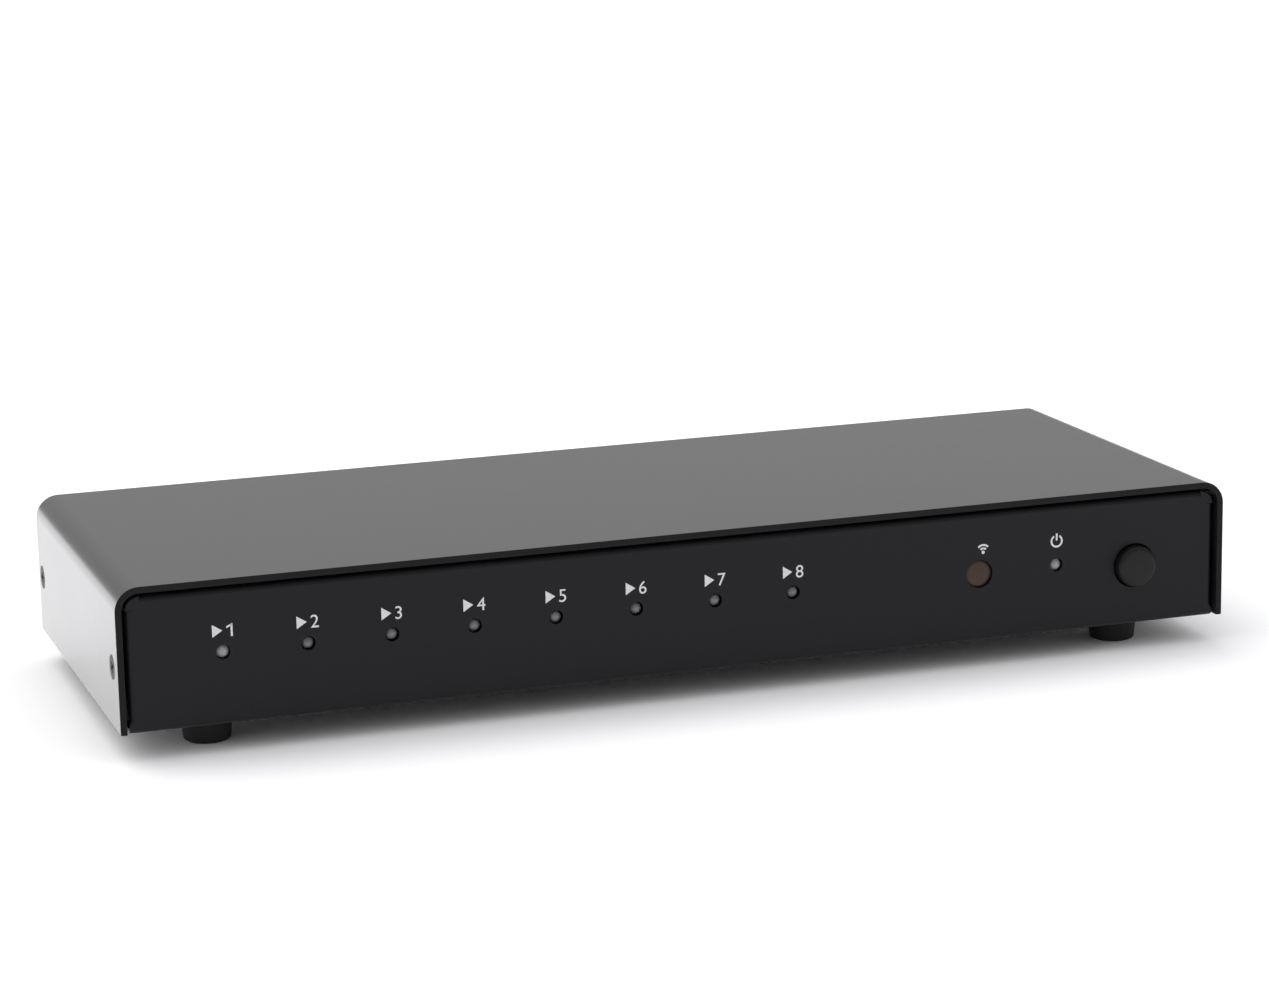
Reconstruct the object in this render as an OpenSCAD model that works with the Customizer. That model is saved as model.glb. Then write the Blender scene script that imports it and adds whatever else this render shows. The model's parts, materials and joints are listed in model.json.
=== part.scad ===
// Video switch box: a folded steel case on rubber feet. A row of input lamps, an infrared
// window, a power lamp and a push button are in front, and the sockets are in the rear wall.
// Sizes are millimetres. X runs right as seen from the front, Y to the rear and Z up.
// The origin is on the table, below the middle of the case.

/* [Case] */
// Outside width of the cover
case_w = 268; // [256:1:300]
// Depth of the cover from its front edge to its rear edge
case_d = 99; // [97:1:130]
// Height of the cover from its lower edge to its top
cover_h = 33; // [31:0.5:45]
// Sheet thickness of the cover
cover_t = 1.5; // [1:0.1:2]
// Outside radius of the two bends of the cover
bend_r = 5.4; // [4:0.1:8]
// Sheet thickness of the chassis
base_t = 1; // [0.8:0.1:1.2]
// Outside radius of the bends of the chassis
base_bend_r = 1.4; // [1.3:0.1:2]
// Gap between the cover and the chassis
case_gap = 0.7; // [0.3:0.1:1]
// How far the front and rear walls stand behind the edges of the cover
panel_recess = 0.9; // [0.4:0.1:1.5]
// How far the sides of the cover end above the underside of the chassis
cover_lift = 0.2; // [0:0.1:1]
// Length of the screw flanges along the sides
flange_l = 10; // [9.5:0.5:14]
// From the underside of the chassis to the screw flanges
flange_from = 3; // [2:0.5:8]
// Length of the lips folded in along the top of the front and rear walls
lip_l = 8; // [5:0.5:12]
// From the rounded corners of the walls to the slits at the ends of the lips
lip_inset = 0.2; // [0:0.1:5]
// Width of the slits at the ends of a fold
slit_w = 0.25; // [0.2:0.05:1]
// Height of the pressed rims that the screws thread into
rim_h = 1.5; // [1:0.1:2]
// Wall of the pressed rims round the thread
rim_t = 1; // [0.6:0.1:1.2]

/* [Feet] */
// Height of a rubber foot
foot_h = 6.6; // [6:0.1:12]
// Diameter of a foot where it meets the chassis
foot_d = 12; // [10:0.5:16]
// Diameter of a foot on the table
foot_tip_d = 10.6; // [9:0.1:16]
// Bevel round the tip of a foot
foot_edge = 0.7; // [0.3:0.1:1]
// Rubber between the head of the screw and the chassis
foot_grip = 4; // [2:0.5:4]
// From the side of the case to the middle of a foot
foot_inset_x = 22; // [10:0.5:40]
// From the front or rear edge of the case to the middle of a foot
foot_inset_y = 14.5; // [10:0.5:15]

/* [Screws] */
// Thread diameter of every screw
screw_d = 3; // [2.5:0.1:3.2]
// Diameter of a round screw head, in a foot or on the board
screw_head_d = 5.4; // [5:0.1:6]
// Height of a round screw head
screw_head_h = 1.8; // [1.4:0.1:2.2]
// Diameter of the flat head of a cover screw
flat_head_d = 5.6; // [5:0.1:6]
// Depth of the flat head of a cover screw
flat_head_h = 1.3; // [1:0.1:1.5]
// Radial clearance of a flat head in its countersink
sink_gap = 0.1; // [0.05:0.05:0.2]
// Width of one arm of the cross in a screw head
cross_w = 0.8; // [0.6:0.1:1]
// Length of one arm of the cross
cross_l = 2.8; // [2:0.1:3]
// Depth of the cross
cross_depth = 1; // [0.6:0.1:1.2]
// Radial clearance of a screw in a plain hole
screw_gap = 0.2; // [0.1:0.05:0.4]
// Radial clearance of a screw in its thread
thread_gap = 0.05; // [0.02:0.01:0.1]
// Gap between pieces that are pressed together
press_gap = 0.03; // [0.02:0.01:0.05]
// How far a screw runs past what it is screwed into
screw_past = 0.4; // [0.2:0.1:1]
// Cover screws above the lower edge of the cover
cover_screw_h = 14; // [12:0.5:20]
// Front cover screws behind the front edge of the cover
cover_screw_front = 6.5; // [6:0.5:8]
// Rear cover screws in front of the rear edge of the cover
cover_screw_rear = 4.5; // [4.5:0.5:8]

/* [Board] */
// Height of the standoffs under the circuit board
standoff_h = 6; // [5:0.5:8]
// Solid floor of a standoff, below its thread
standoff_floor = 1; // [0.6:0.1:2]
// Diameter of a standoff
standoff_d = 6; // [5.5:0.5:7]
// Thickness of the circuit board
board_t = 1.6; // [1:0.2:2]
// From the inside of the front wall to the front edge of the board
board_front_gap = 2.6; // [1:0.1:4]
// From the inside of the rear wall to the rear edge of the board
board_rear_gap = 0.8; // [0.4:0.1:1.6]
// From the ends of the chassis to the ends of the board
board_side_gap = 7; // [5:0.5:10]
// From the ends of the board to the outer standoffs
standoff_inset_x = 6; // [5:0.5:10]
// From the front edge of the board to the front standoffs
standoff_inset_front = 17; // [15:0.5:20]
// From the rear edge of the board to the rear standoffs
standoff_inset_rear = 17; // [14:0.5:20]
// Clearance round a lead or a leg in the board
lead_gap = 0.15; // [0.05:0.05:0.3]
// How far leads and legs reach out below the board
lead_past = 1.2; // [0.6:0.1:2]

/* [Sockets] */
// Number of input sockets and of their lamps
inputs = 8; // [2:1:8]
// From the left side of the case to the first input socket
input_x = 20; // [18:0.5:30]
// From the right side of the case to the last input socket
input_end_x = 94; // [84:0.5:110]
// From the right side of the case to the output socket
output_x = 63; // [50:0.5:66]
// Outside width of a socket shell
socket_w = 15; // [14.6:0.1:15.4]
// Outside height of a socket shell
socket_h = 5.6; // [5.4:0.1:6]
// Size of the slanted lower corners of a shell
socket_corner = 2.1; // [1.6:0.1:2.4]
// Depth of a shell from its mouth to its back
socket_l = 11.6; // [11:0.1:13]
// Sheet thickness of a shell
shell_t = 0.4; // [0.3:0.05:0.5]
// How far the mouth of a shell stands out of the rear wall
socket_out = 0.4; // [0.2:0.1:2]
// Gap between a shell and its hole in the rear wall
socket_gap = 0.35; // [0.2:0.05:0.6]
// Length of a retaining spring in the top of a shell
finger_l = 5; // [4:0.1:6]
// Width of a retaining spring
finger_w = 1.8; // [1.4:0.1:2.2]
// Distance between the two retaining springs of a shell
finger_pitch = 6; // [5:0.1:7]
// Slit round a retaining spring
finger_slit = 0.5; // [0.4:0.1:0.8]
// From the mouth of a shell to the slits of its springs
finger_from = 3; // [2.6:0.1:4]
// Width of a leg of a shell
leg_w = 1.6; // [1.2:0.1:2]
// From the mouth of a shell to the middle of its front legs
leg_from = 5; // [4.6:0.1:5.6]
// Distance from the front legs to the rear legs
leg_pitch = 5; // [4:0.1:6]
// Width of the tongue inside a socket
tongue_w = 11.4; // [11:0.1:12]
// Thickness of the tongue
tongue_t = 1.7; // [1.4:0.1:2]
// From the mouth of a shell to the tip of its tongue
tongue_from = 2.7; // [2.6:0.1:3.2]
// Length of the moulded block that holds the tongue
block_l = 3.4; // [2.5:0.1:4]
// Distance from one contact to the next in a row
contact_pitch = 1; // [0.9:0.05:1.05]
// Width of a contact
contact_w = 0.5; // [0.4:0.05:0.6]
// Thickness of a contact
contact_t = 0.15; // [0.1:0.05:0.25]
// Contacts in the upper row, which has one more than the lower row
contacts = 10; // [6:1:10]
// From the tip of the tongue to the tips of its contacts
contact_from = 0.5; // [0.3:0.1:1]

/* [Power inlet] */
// From the right side of the case to the power inlet
inlet_x = 28; // [24:0.5:34]
// Width of the inlet body
inlet_w = 9; // [8.6:0.1:10]
// Height of the inlet body
inlet_h = 11; // [10.4:0.1:12]
// Length of the inlet body inside the case
inlet_l = 11; // [10:0.5:13]
// Height of the middle of the inlet above the board
inlet_axis_h = 6.4; // [5.6:0.1:6.6]
// Diameter of the round nose in the rear wall
nose_d = 8.4; // [8.2:0.1:9]
// How far the nose stands out of the rear wall
nose_out = 0.4; // [0.2:0.1:1.5]
// Gap between the nose and its hole
nose_gap = 0.3; // [0.2:0.1:0.6]
// Diameter of the hole that takes the plug
barrel_d = 6.4; // [6:0.1:6.6]
// Depth of the hole that takes the plug
barrel_l = 9.5; // [8:0.5:10]
// Diameter of the centre pin
pin_d = 2.1; // [1.6:0.1:2.5]
// From the mouth of the inlet to the tip of its pin
pin_from = 2.6; // [2.5:0.1:3]
// How far the pin is sunk into the body
pin_root = 2; // [1:0.5:3]
// Width of the sleeve contact
sleeve_w = 2.4; // [1.6:0.1:3]
// Thickness of the sleeve contact
sleeve_t = 0.5; // [0.3:0.1:0.7]

/* [Lamps] */
// From the left side of the case to the first lamp
lamp_x = 23.6; // [20:0.1:28]
// From the right side of the case to the last input lamp
lamp_end_x = 110.4; // [98:0.1:130]
// Height of the lamps above the lower edge of the cover
lamp_h = 16.3; // [15:0.1:18]
// From the right side of the case to the power lamp
power_x = 43.5; // [41:0.1:46]
// Diameter of a lamp
lamp_d = 3; // [2.8:0.1:3.2]
// Length of a lamp
lamp_l = 5.2; // [4.6:0.1:6]
// Diameter of the collar at the back of a lamp
collar_d = 3.8; // [3.6:0.1:4]
// Thickness of the collar
collar_t = 1; // [0.8:0.1:1.2]
// How far the tip of a lamp stands behind the front of the panel
lamp_sink = 0.2; // [0:0.1:0.5]
// Gap round a lamp in its hole
lamp_gap = 0.15; // [0.1:0.05:0.3]
// Thickness of a lamp lead
lead_t = 0.5; // [0.4:0.05:0.6]
// Distance between the two leads of a lamp
lead_pitch = 2.54; // [2:0.01:2.6]
// Length of a lead behind a lamp before it bends down
lead_back = 1.6; // [1:0.1:2]

/* [Infrared] */
// From the right side of the case to the infrared window
eye_x = 63.4; // [60:0.1:68]
// Height of the infrared window above the lower edge of the cover
eye_h = 16; // [14:0.1:18]
// Diameter of the hole in the panel
eye_d = 6.7; // [5:0.1:8]
// Rim of the window behind the panel, round the hole
eye_rim = 1.4; // [1:0.1:2]
// Thickness of the window
eye_t = 1.6; // [1:0.1:2]
// Gap between the window and the dome of the receiver
eye_gap = 0.3; // [0.2:0.1:0.8]
// Radius of the dome of the receiver
dome_r = 2.2; // [1.8:0.1:2.6]
// Width of the receiver
eye_body_w = 5.6; // [5.6:0.1:7]
// Height of the receiver
eye_body_h = 7; // [6:0.1:8]
// Thickness of the receiver behind its dome
eye_body_t = 3; // [2.4:0.1:4]

/* [Button] */
// From the right side of the case to the button
button_x = 23; // [20:0.1:26]
// Height of the button above the lower edge of the cover
button_h = 14.2; // [13.8:0.1:16]
// Diameter of the button
button_d = 10; // [7:0.1:10.4]
// Rounding of the front edge of the button
button_edge = 0.9; // [0.4:0.1:1.2]
// How far the button stands out of the panel
button_out = 2.4; // [1.8:0.1:3]
// Length of the button
button_l = 7.2; // [6.5:0.1:8]
// Gap between the button and its hole
button_gap = 0.4; // [0.3:0.05:0.6]
// How far the button goes in
travel = 1.5; // [0.8:0.1:1.6]
// Thickness of the square stem in the button
stem_w = 3; // [2.6:0.1:3.4]
// Depth of the stem in the button
stem_in = 3.6; // [2.5:0.1:4]
// Gap between the stem and the button
stem_gap = 0.05; // [0.02:0.01:0.1]
// Room left behind the button when it is pressed
stop_gap = 0.4; // [0.3:0.1:1]
// Width of the switch housing
switch_w = 9; // [8.6:0.1:10]
// Length of the switch housing
switch_l = 9.5; // [9:0.1:11]
// Wall of the switch housing
switch_t = 1; // [0.8:0.1:1.2]
// Width of the collar of the plunger
plunger_w = 6; // [5.4:0.1:6.2]
// Thickness of the collar of the plunger
plunger_t = 1.5; // [1:0.1:2]
// Gap round the plunger in the housing
plunger_gap = 0.25; // [0.15:0.05:0.3]
// Wire of the return spring
wire_d = 0.5; // [0.3:0.05:0.6]
// Diameter of the return spring at the middle of its wire
coil_d = 4; // [3:0.1:4.6]
// Turns of the return spring
coil_turns = 4; // [3:1:5]

/* [Components] */
// Side of a switching chip
chip_w = 14; // [10:0.5:16]
// Thickness of a chip
chip_t = 1.4; // [1:0.1:2]
// Bevel along the upper edges of a chip
chip_bevel = 0.3; // [0.2:0.1:0.4]
// Side of the output chip
output_chip_w = 10; // [7:0.5:12]
// Length of the control chip
control_l = 18; // [10:0.5:20]
// Width of the control chip
control_w = 7.5; // [5:0.5:9]
// Thickness of the control chip
control_t = 2.3; // [1.6:0.1:3]
// Diameter of a capacitor
cap_d = 6.3; // [5:0.1:8]
// Height of a capacitor
cap_h = 6.4; // [5:0.1:6.6]
// Distance from one capacitor to the next
cap_pitch = 9; // [8.5:0.5:10]
// Depth of the groove round a capacitor
cap_groove = 0.3; // [0.2:0.1:0.4]
// Height of the groove above the board
cap_groove_h = 0.9; // [0.6:0.1:1.5]
// Side of the inductor
coil_box_w = 7; // [5:0.5:8]
// Height of the inductor
coil_box_h = 4; // [3:0.5:5]
// Width of the voltage regulator
reg_w = 6.6; // [5:0.1:7]
// Length of the voltage regulator
reg_l = 9; // [7:0.1:10]
// Thickness of the voltage regulator
reg_t = 2.3; // [1.6:0.1:3]
// Length of the crystal can
crystal_l = 11; // [9:0.5:12]
// Width of the crystal can
crystal_w = 4.6; // [3.6:0.1:5]
// Height of the crystal can
crystal_h = 3.5; // [2.5:0.1:4]
// Space between neighbouring components
part_gap = 8; // [6:0.5:9]

/* [Hidden] */
$fn = 48;
// How far a cutting shape runs past the face that it cuts
past = 0.5;
// Growth of a slanted corner for each millimetre that an outline grows
corner_growth = 2 - sqrt(2);

// Faces of the case
left_x = -case_w / 2;
right_x = case_w / 2;
front_y = -case_d / 2;
rear_y = case_d / 2;
panel_y = front_y + panel_recess;
panel_in_y = panel_y + base_t;
back_y = rear_y - panel_recess;
back_in_y = back_y - base_t;
cover_z = foot_h + cover_lift;
top_z = cover_z + cover_h;
floor_z = foot_h + base_t;
base_w = case_w - 2 * (cover_t + case_gap);
base_d = back_y - panel_y;
base_top = top_z - cover_t - case_gap;
panel_corner_r = bend_r - cover_t - case_gap;
flange_z = foot_h + flange_from;
flange_h = base_top - panel_corner_r - slit_w - flange_z;
lip_w = base_w - 2 * (panel_corner_r + lip_inset + slit_w);

// Circuit board
board_z = floor_z + standoff_h;
board_top = board_z + board_t;
board_w = base_w - 2 * board_side_gap;
board_front = panel_in_y + board_front_gap;
board_rear = back_in_y - board_rear_gap;
standoff_x = board_w / 2 - standoff_inset_x;
standoff_y = [board_front + standoff_inset_front, board_rear - standoff_inset_rear];
standoff_places = [for (x = [-standoff_x, 0, standoff_x], y = standoff_y) [x, y]];

// Feet and cover screws
foot_places = [for (x = [-1, 1], y = [-1, 1])
    [x * (case_w / 2 - foot_inset_x), y * (case_d / 2 - foot_inset_y)]];
cover_screw_z = cover_z + cover_screw_h;
cover_screw_y = [front_y + cover_screw_front, rear_y - cover_screw_rear];
thread_r = screw_d / 2 + thread_gap;
hole_r = screw_d / 2 + screw_gap;
rim_r = thread_r + rim_t;
sink_slope = (flat_head_d - screw_d) / 2 / flat_head_h;

// Sockets, with their mouths facing the rear
mouth_y = back_y + socket_out;
input_pitch = (case_w - input_x - input_end_x) / (inputs - 1);
input_places = [for (i = [0 : inputs - 1]) left_x + input_x + i * input_pitch];
output_place = right_x - output_x;
socket_places = concat(input_places, [output_place]);
tongue_z = socket_h / 2;
block_y = mouth_y - socket_l + shell_t + block_l;
leg_y = [mouth_y - leg_from, mouth_y - leg_from - leg_pitch];

// Power inlet
inlet_cx = right_x - inlet_x;
inlet_z = board_top + inlet_axis_h;
nose_y = back_y + nose_out;
pin_end_y = nose_y - barrel_l - pin_root;

// Front panel
lamp_pitch = (case_w - lamp_x - lamp_end_x) / (inputs - 1);
lamp_places = concat([for (i = [0 : inputs - 1]) left_x + lamp_x + i * lamp_pitch], [right_x - power_x]);
lamp_z = cover_z + lamp_h;
lamp_tip_y = panel_y + lamp_sink;
lamp_back_y = lamp_tip_y + lamp_l;
lamp_lead_places = [for (x = lamp_places, side = [-1, 1])
    [x + side * lead_pitch / 2, lamp_back_y + lead_back - lead_t / 2]];
eye_cx = right_x - eye_x;
eye_z = cover_z + eye_h;
eye_dome_y = panel_in_y + eye_t + eye_gap;
eye_body_y = eye_dome_y + dome_r;
eye_leads = [for (i = [-1 : 1]) [eye_cx + i * lead_pitch, eye_body_y + eye_body_t / 2]];

// Button and switch
button_cx = right_x - button_x;
button_z = cover_z + button_h;
button_tip_y = panel_y - button_out;
button_back_y = button_tip_y + button_l;
switch_y = button_back_y + travel + stop_gap;
plunger_y = switch_y + switch_t;
cavity_w = plunger_w + 2 * plunger_gap;
cavity_end_y = switch_y + switch_l - switch_t;
switch_top = button_z + cavity_w / 2 + switch_t;
spring_from = plunger_y + plunger_t;
spring_l = cavity_end_y - spring_from;

// Component places on the board, worked out from the sockets and from each other
group = inputs / 2;
chip_y = standoff_y[1] - screw_head_d / 2 - part_gap - chip_w / 2;
chip_places = [for (i = [0, 1]) input_places[0] + input_pitch * ((group - 1) / 2 + group * i)];
control_y = standoff_y[0];
control_x = -standoff_x / 2;
crystal_x = control_x + control_l / 2 + part_gap + crystal_l / 2;
reg_y = mouth_y - socket_l - part_gap - reg_l / 2;
coil_box_x = inlet_cx - reg_w / 2 - part_gap - coil_box_w / 2;
cap_y = reg_y - coil_box_w / 2 - part_gap - cap_d / 2;

socket_names = concat([for (i = [1 : inputs]) str("input_", i)], ["output"]);
lamp_names = concat([for (i = [1 : inputs]) str("input_lamp_", i)], ["power_lamp"]);
foot_names = ["foot_front_left", "foot_rear_left", "foot_front_right", "foot_rear_right"];

// Extrudes an outline drawn in X and Z from y0 to y1
module along_y(y0, y1) {
    translate([0, y1, 0]) rotate([90, 0, 0]) linear_extrude(y1 - y0) children();
}

// Extrudes an outline drawn in Y and Z from x0 to x1
module along_x(x0, x1) {
    translate([x0, 0, 0]) rotate([90, 0, 90]) linear_extrude(x1 - x0) children();
}

// Turns what stands along Z so that it points to the front
module facing_front() {
    rotate([90, 0, 0]) children();
}

// Rectangle that stands on y = 0 with its two lower corners rounded
module round_floor(w, h, r) {
    translate([-w / 2, r]) square([w, h - r]);
    translate([-w / 2 + r, 0]) square([w - 2 * r, 2 * r]);
    for (side = [-1, 1]) translate([side * (w / 2 - r), r]) circle(r);
}

// Sheet of thickness t folded up at both ends, seen along the folds
module channel(w, h, t, r) {
    difference() {
        round_floor(w, h, r);
        translate([0, t]) round_floor(w - 2 * t, h, r - t);
    }
}

// Pan-head screw along Z with its head above z = 0
module pan_screw(l) {
    dome_r = (pow(screw_head_d / 2, 2) + pow(screw_head_h, 2)) / (2 * screw_head_h);
    difference() {
        rotate_extrude() {
            translate([0, -l]) square([screw_d / 2, l]);
            intersection() {
                square([screw_head_d / 2, screw_head_h]);
                translate([0, screw_head_h - dome_r]) circle(dome_r);
            }
        }
        cross_recess(screw_head_h);
    }
}

// Flat-head screw along Z with its head sunk below z = 0
module flat_screw(l) {
    difference() {
        rotate_extrude()
            polygon([
                [0, 0],
                [flat_head_d / 2, 0],
                [screw_d / 2, -flat_head_h],
                [screw_d / 2, -l],
                [0, -l]
            ]);
        cross_recess(0);
    }
}

// Cross cut into a screw head whose top is at height z
module cross_recess(z) {
    for (turn = [0, 90])
        rotate(turn) translate([-cross_l / 2, -cross_w / 2, z - cross_depth])
            cube([cross_l, cross_w, cross_depth + past]);
}

// Countersunk hole for a flat-head screw, with the face of the sheet at z = 0
module screw_sink() {
    r = screw_d / 2 + sink_gap;
    depth = flat_head_h + past;
    translate([0, 0, -flat_head_h]) cylinder(r1 = r, r2 = r + depth * sink_slope, h = depth);
    translate([0, 0, -cover_t - past]) cylinder(r = hole_r, h = cover_t + past);
}

// Outline of a socket shell, grown by g on every side
function socket_outline(g) =
    let (
        half = socket_w / 2 + g,
        corner = socket_corner + g * corner_growth
    )
    [
        [-half, socket_h + g],
        [-half, corner - g],
        [corner - half, -g],
        [half - corner, -g],
        [half, corner - g],
        [half, socket_h + g]
    ];

// Legs of one socket shell, widened by g on every side
module shell_legs(g) {
    for (side = [-1, 1], y = leg_y)
        translate([side * (socket_w / 2 - shell_t / 2), y, 0])
            translate([-shell_t / 2 - g, -leg_w / 2 - g, -board_t - lead_past])
                cube([shell_t + 2 * g, leg_w + 2 * g, board_t + lead_past + socket_corner + past]);
}

// Folded shell of one socket: a slant-cornered tube with a closed back, springs and legs
module socket_shell() {
    difference() {
        along_y(mouth_y - socket_l, mouth_y) polygon(socket_outline(0));
        along_y(mouth_y - socket_l + shell_t, mouth_y + past) polygon(socket_outline(-shell_t));
        translate([0, mouth_y - finger_from - finger_l, socket_h - shell_t - past])
            for (side = [-1, 1]) translate([side * finger_pitch / 2, 0, 0]) finger_slits();
    }
    shell_legs(0);
}

// Slits on three sides of one retaining spring, which stays joined at its rear end
module finger_slits() {
    depth = shell_t + 2 * past;
    for (side = [-1, 1])
        translate([side * (finger_w + finger_slit) / 2 - finger_slit / 2, 0, 0])
            cube([finger_slit, finger_l, depth]);
    translate([-finger_w / 2 - finger_slit, finger_l - finger_slit, 0])
        cube([finger_w + 2 * finger_slit, finger_slit, depth]);
}

// Moulded block of one socket with the tongue that carries the contacts
module socket_tongue() {
    along_y(mouth_y - socket_l + shell_t, block_y) polygon(socket_outline(-shell_t - press_gap));
    translate([-tongue_w / 2, block_y - past, tongue_z - tongue_t / 2])
        cube([tongue_w, mouth_y - tongue_from - block_y + past, tongue_t]);
}

// Contacts on both faces of one tongue
module tongue_contacts() {
    contact_l = mouth_y - tongue_from - contact_from - block_y;
    for (row = [0, 1], i = [0 : contacts - 1 - row])
        translate([
            (i - (contacts - 1 - row) / 2) * contact_pitch - contact_w / 2,
            block_y,
            row == 0 ? tongue_z + tongue_t / 2 : tongue_z - tongue_t / 2 - contact_t
        ])
            cube([contact_w, contact_l, contact_t]);
}

// Upright lead with its middle at x and y, from below the board up to z, widened by g
module upright_lead(x, y, z, g) {
    w = lead_t + 2 * g;
    translate([x - w / 2, y - w / 2, board_z - lead_past]) cube([w, w, z - board_z + lead_past]);
}

// Flat component with bevelled upper edges, standing on the board
module chip(w, l, t) {
    along_x(-w / 2, w / 2)
        polygon([
            [-l / 2, 0],
            [l / 2, 0],
            [l / 2, t - chip_bevel],
            [l / 2 - chip_bevel, t],
            [chip_bevel - l / 2, t],
            [-l / 2, t - chip_bevel]
        ]);
}

module top_cover() {
    color("#18191b")
        difference() {
            along_y(front_y, rear_y)
                translate([0, top_z]) mirror([0, 1]) channel(case_w, cover_h, cover_t, bend_r);
            for (y = cover_screw_y, side = [-1, 1])
                translate([side * case_w / 2, y, cover_screw_z])
                    rotate([0, side * 90, 0]) screw_sink();
        }
}

module base_chassis() {
    color("#1c1d1f")
        difference() {
            union() {
                chassis_walls();
                for (end = [0, 1]) chassis_flanges(end);
                along_x(-lip_w / 2, lip_w / 2) lip_outline();
                for (y = cover_screw_y, side = [-1, 1])
                    translate([side * base_w / 2, y, cover_screw_z])
                        rotate([0, -side * 90, 0]) cylinder(r = rim_r, h = base_t + rim_h);
                for (place = foot_places)
                    translate([place.x, place.y, foot_h]) cylinder(r = rim_r, h = base_t + rim_h);
            }
            front_holes();
            rear_holes();
            for (y = cover_screw_y)
                translate([left_x, y, cover_screw_z])
                    rotate([0, 90, 0]) cylinder(r = thread_r, h = case_w);
            for (place = foot_places)
                translate([place.x, place.y, foot_h - past])
                    cylinder(r = thread_r, h = base_t + rim_h + 2 * past);
        }
}

// Floor with its front and rear walls, notched where the flanges and the lips are folded
module chassis_walls() {
    difference() {
        intersection() {
            along_x(-base_w / 2, base_w / 2)
                translate([0, foot_h]) channel(base_d, base_top - foot_h, base_t, base_bend_r);
            along_y(panel_y - past, back_y + past)
                translate([0, base_top]) mirror([0, 1])
                    round_floor(base_w, base_top - foot_h, panel_corner_r);
        }
        for (side = [-1, 1])
            translate([side * base_w / 2 - base_bend_r, panel_y - past, flange_z - slit_w])
                cube([2 * base_bend_r, base_d + 2 * past, flange_h + 2 * slit_w]);
        translate([-lip_w / 2 - slit_w, panel_y - past, base_top - base_bend_r])
            cube([lip_w + 2 * slit_w, base_d + 2 * past, base_bend_r + past]);
    }
}

// Lips along the top of the front and rear walls, seen from the side
module lip_outline() {
    difference() {
        translate([0, base_top]) mirror([0, 1])
            channel(base_d, base_bend_r + past, base_t, base_bend_r);
        translate([lip_l - base_d / 2, base_top - base_t - past])
            square([base_d - 2 * lip_l, base_t + 2 * past]);
    }
}

// Screw flanges at the two ends of the front wall, or of the rear wall if end is 1
module chassis_flanges(end) {
    translate([0, end == 0 ? panel_y : back_y, flange_z])
        mirror([0, end, 0])
            linear_extrude(flange_h) channel(base_w, flange_l, base_t, base_bend_r);
}

// Holes in the front wall for the lamps, the infrared window and the button
module front_holes() {
    depth = base_t + 2 * past;
    for (x = lamp_places)
        translate([x, panel_in_y + past, lamp_z])
            facing_front() cylinder(r = lamp_d / 2 + lamp_gap, h = depth);
    translate([eye_cx, panel_in_y + past, eye_z])
        facing_front() cylinder(d = eye_d, h = depth);
    translate([button_cx, panel_in_y + past, button_z])
        facing_front() cylinder(r = button_d / 2 + button_gap, h = depth);
}

// Holes in the rear wall for the sockets and the power inlet
module rear_holes() {
    for (x = socket_places)
        translate([x, 0, board_top])
            along_y(back_in_y - past, back_y + past) polygon(socket_outline(socket_gap));
    translate([inlet_cx, back_y + past, inlet_z])
        facing_front() cylinder(r = nose_d / 2 + nose_gap, h = base_t + 2 * past);
}

module cover_screws() {
    l = cover_t + case_gap + base_t + rim_h + screw_past;
    color("#26272a")
        for (y = cover_screw_y, side = [-1, 1])
            translate([side * case_w / 2, y, cover_screw_z])
                rotate([0, side * 90, 0]) flat_screw(l);
}

module foot(place) {
    seat_z = foot_h - foot_grip;
    pocket_r = screw_head_d / 2 + screw_gap;
    color("#161616")
        translate([place.x, place.y, 0])
            rotate_extrude()
                polygon([
                    [hole_r, seat_z],
                    [pocket_r, seat_z],
                    [pocket_r, 0],
                    [foot_tip_d / 2 - foot_edge, 0],
                    [foot_tip_d / 2, foot_edge],
                    [foot_d / 2, foot_h],
                    [hole_r, foot_h]
                ]);
}

module foot_screws() {
    l = foot_grip + base_t + rim_h + screw_past;
    color("#8d9196")
        for (place = foot_places)
            translate([place.x, place.y, foot_h - foot_grip])
                rotate([180, 0, 0]) pan_screw(l);
}

module board_standoffs() {
    color("#c9b36a")
        for (place = standoff_places)
            translate([place.x, place.y, floor_z])
                difference() {
                    cylinder(d = standoff_d, h = standoff_h);
                    translate([0, 0, standoff_floor]) cylinder(r = thread_r, h = standoff_h);
                }
}

module board_screws() {
    color("#8d9196")
        for (place = standoff_places)
            translate([place.x, place.y, board_top])
                pan_screw(board_t + standoff_h - standoff_floor - screw_past);
}

module main_board() {
    color("#1f5a36")
        difference() {
            translate([-board_w / 2, board_front, board_z])
                cube([board_w, board_rear - board_front, board_t]);
            for (place = standoff_places)
                translate([place.x, place.y, board_z - past])
                    cylinder(r = hole_r, h = board_t + 2 * past);
            for (x = socket_places)
                translate([x, 0, board_top]) shell_legs(lead_gap);
            for (lead = lamp_lead_places) upright_lead(lead.x, lead.y, lamp_z, lead_gap);
            for (lead = eye_leads) upright_lead(lead.x, lead.y, eye_z, lead_gap);
        }
}

module socket_contacts() {
    color("#d9b45a")
        for (x = socket_places) translate([x, 0, board_top]) tongue_contacts();
}

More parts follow.
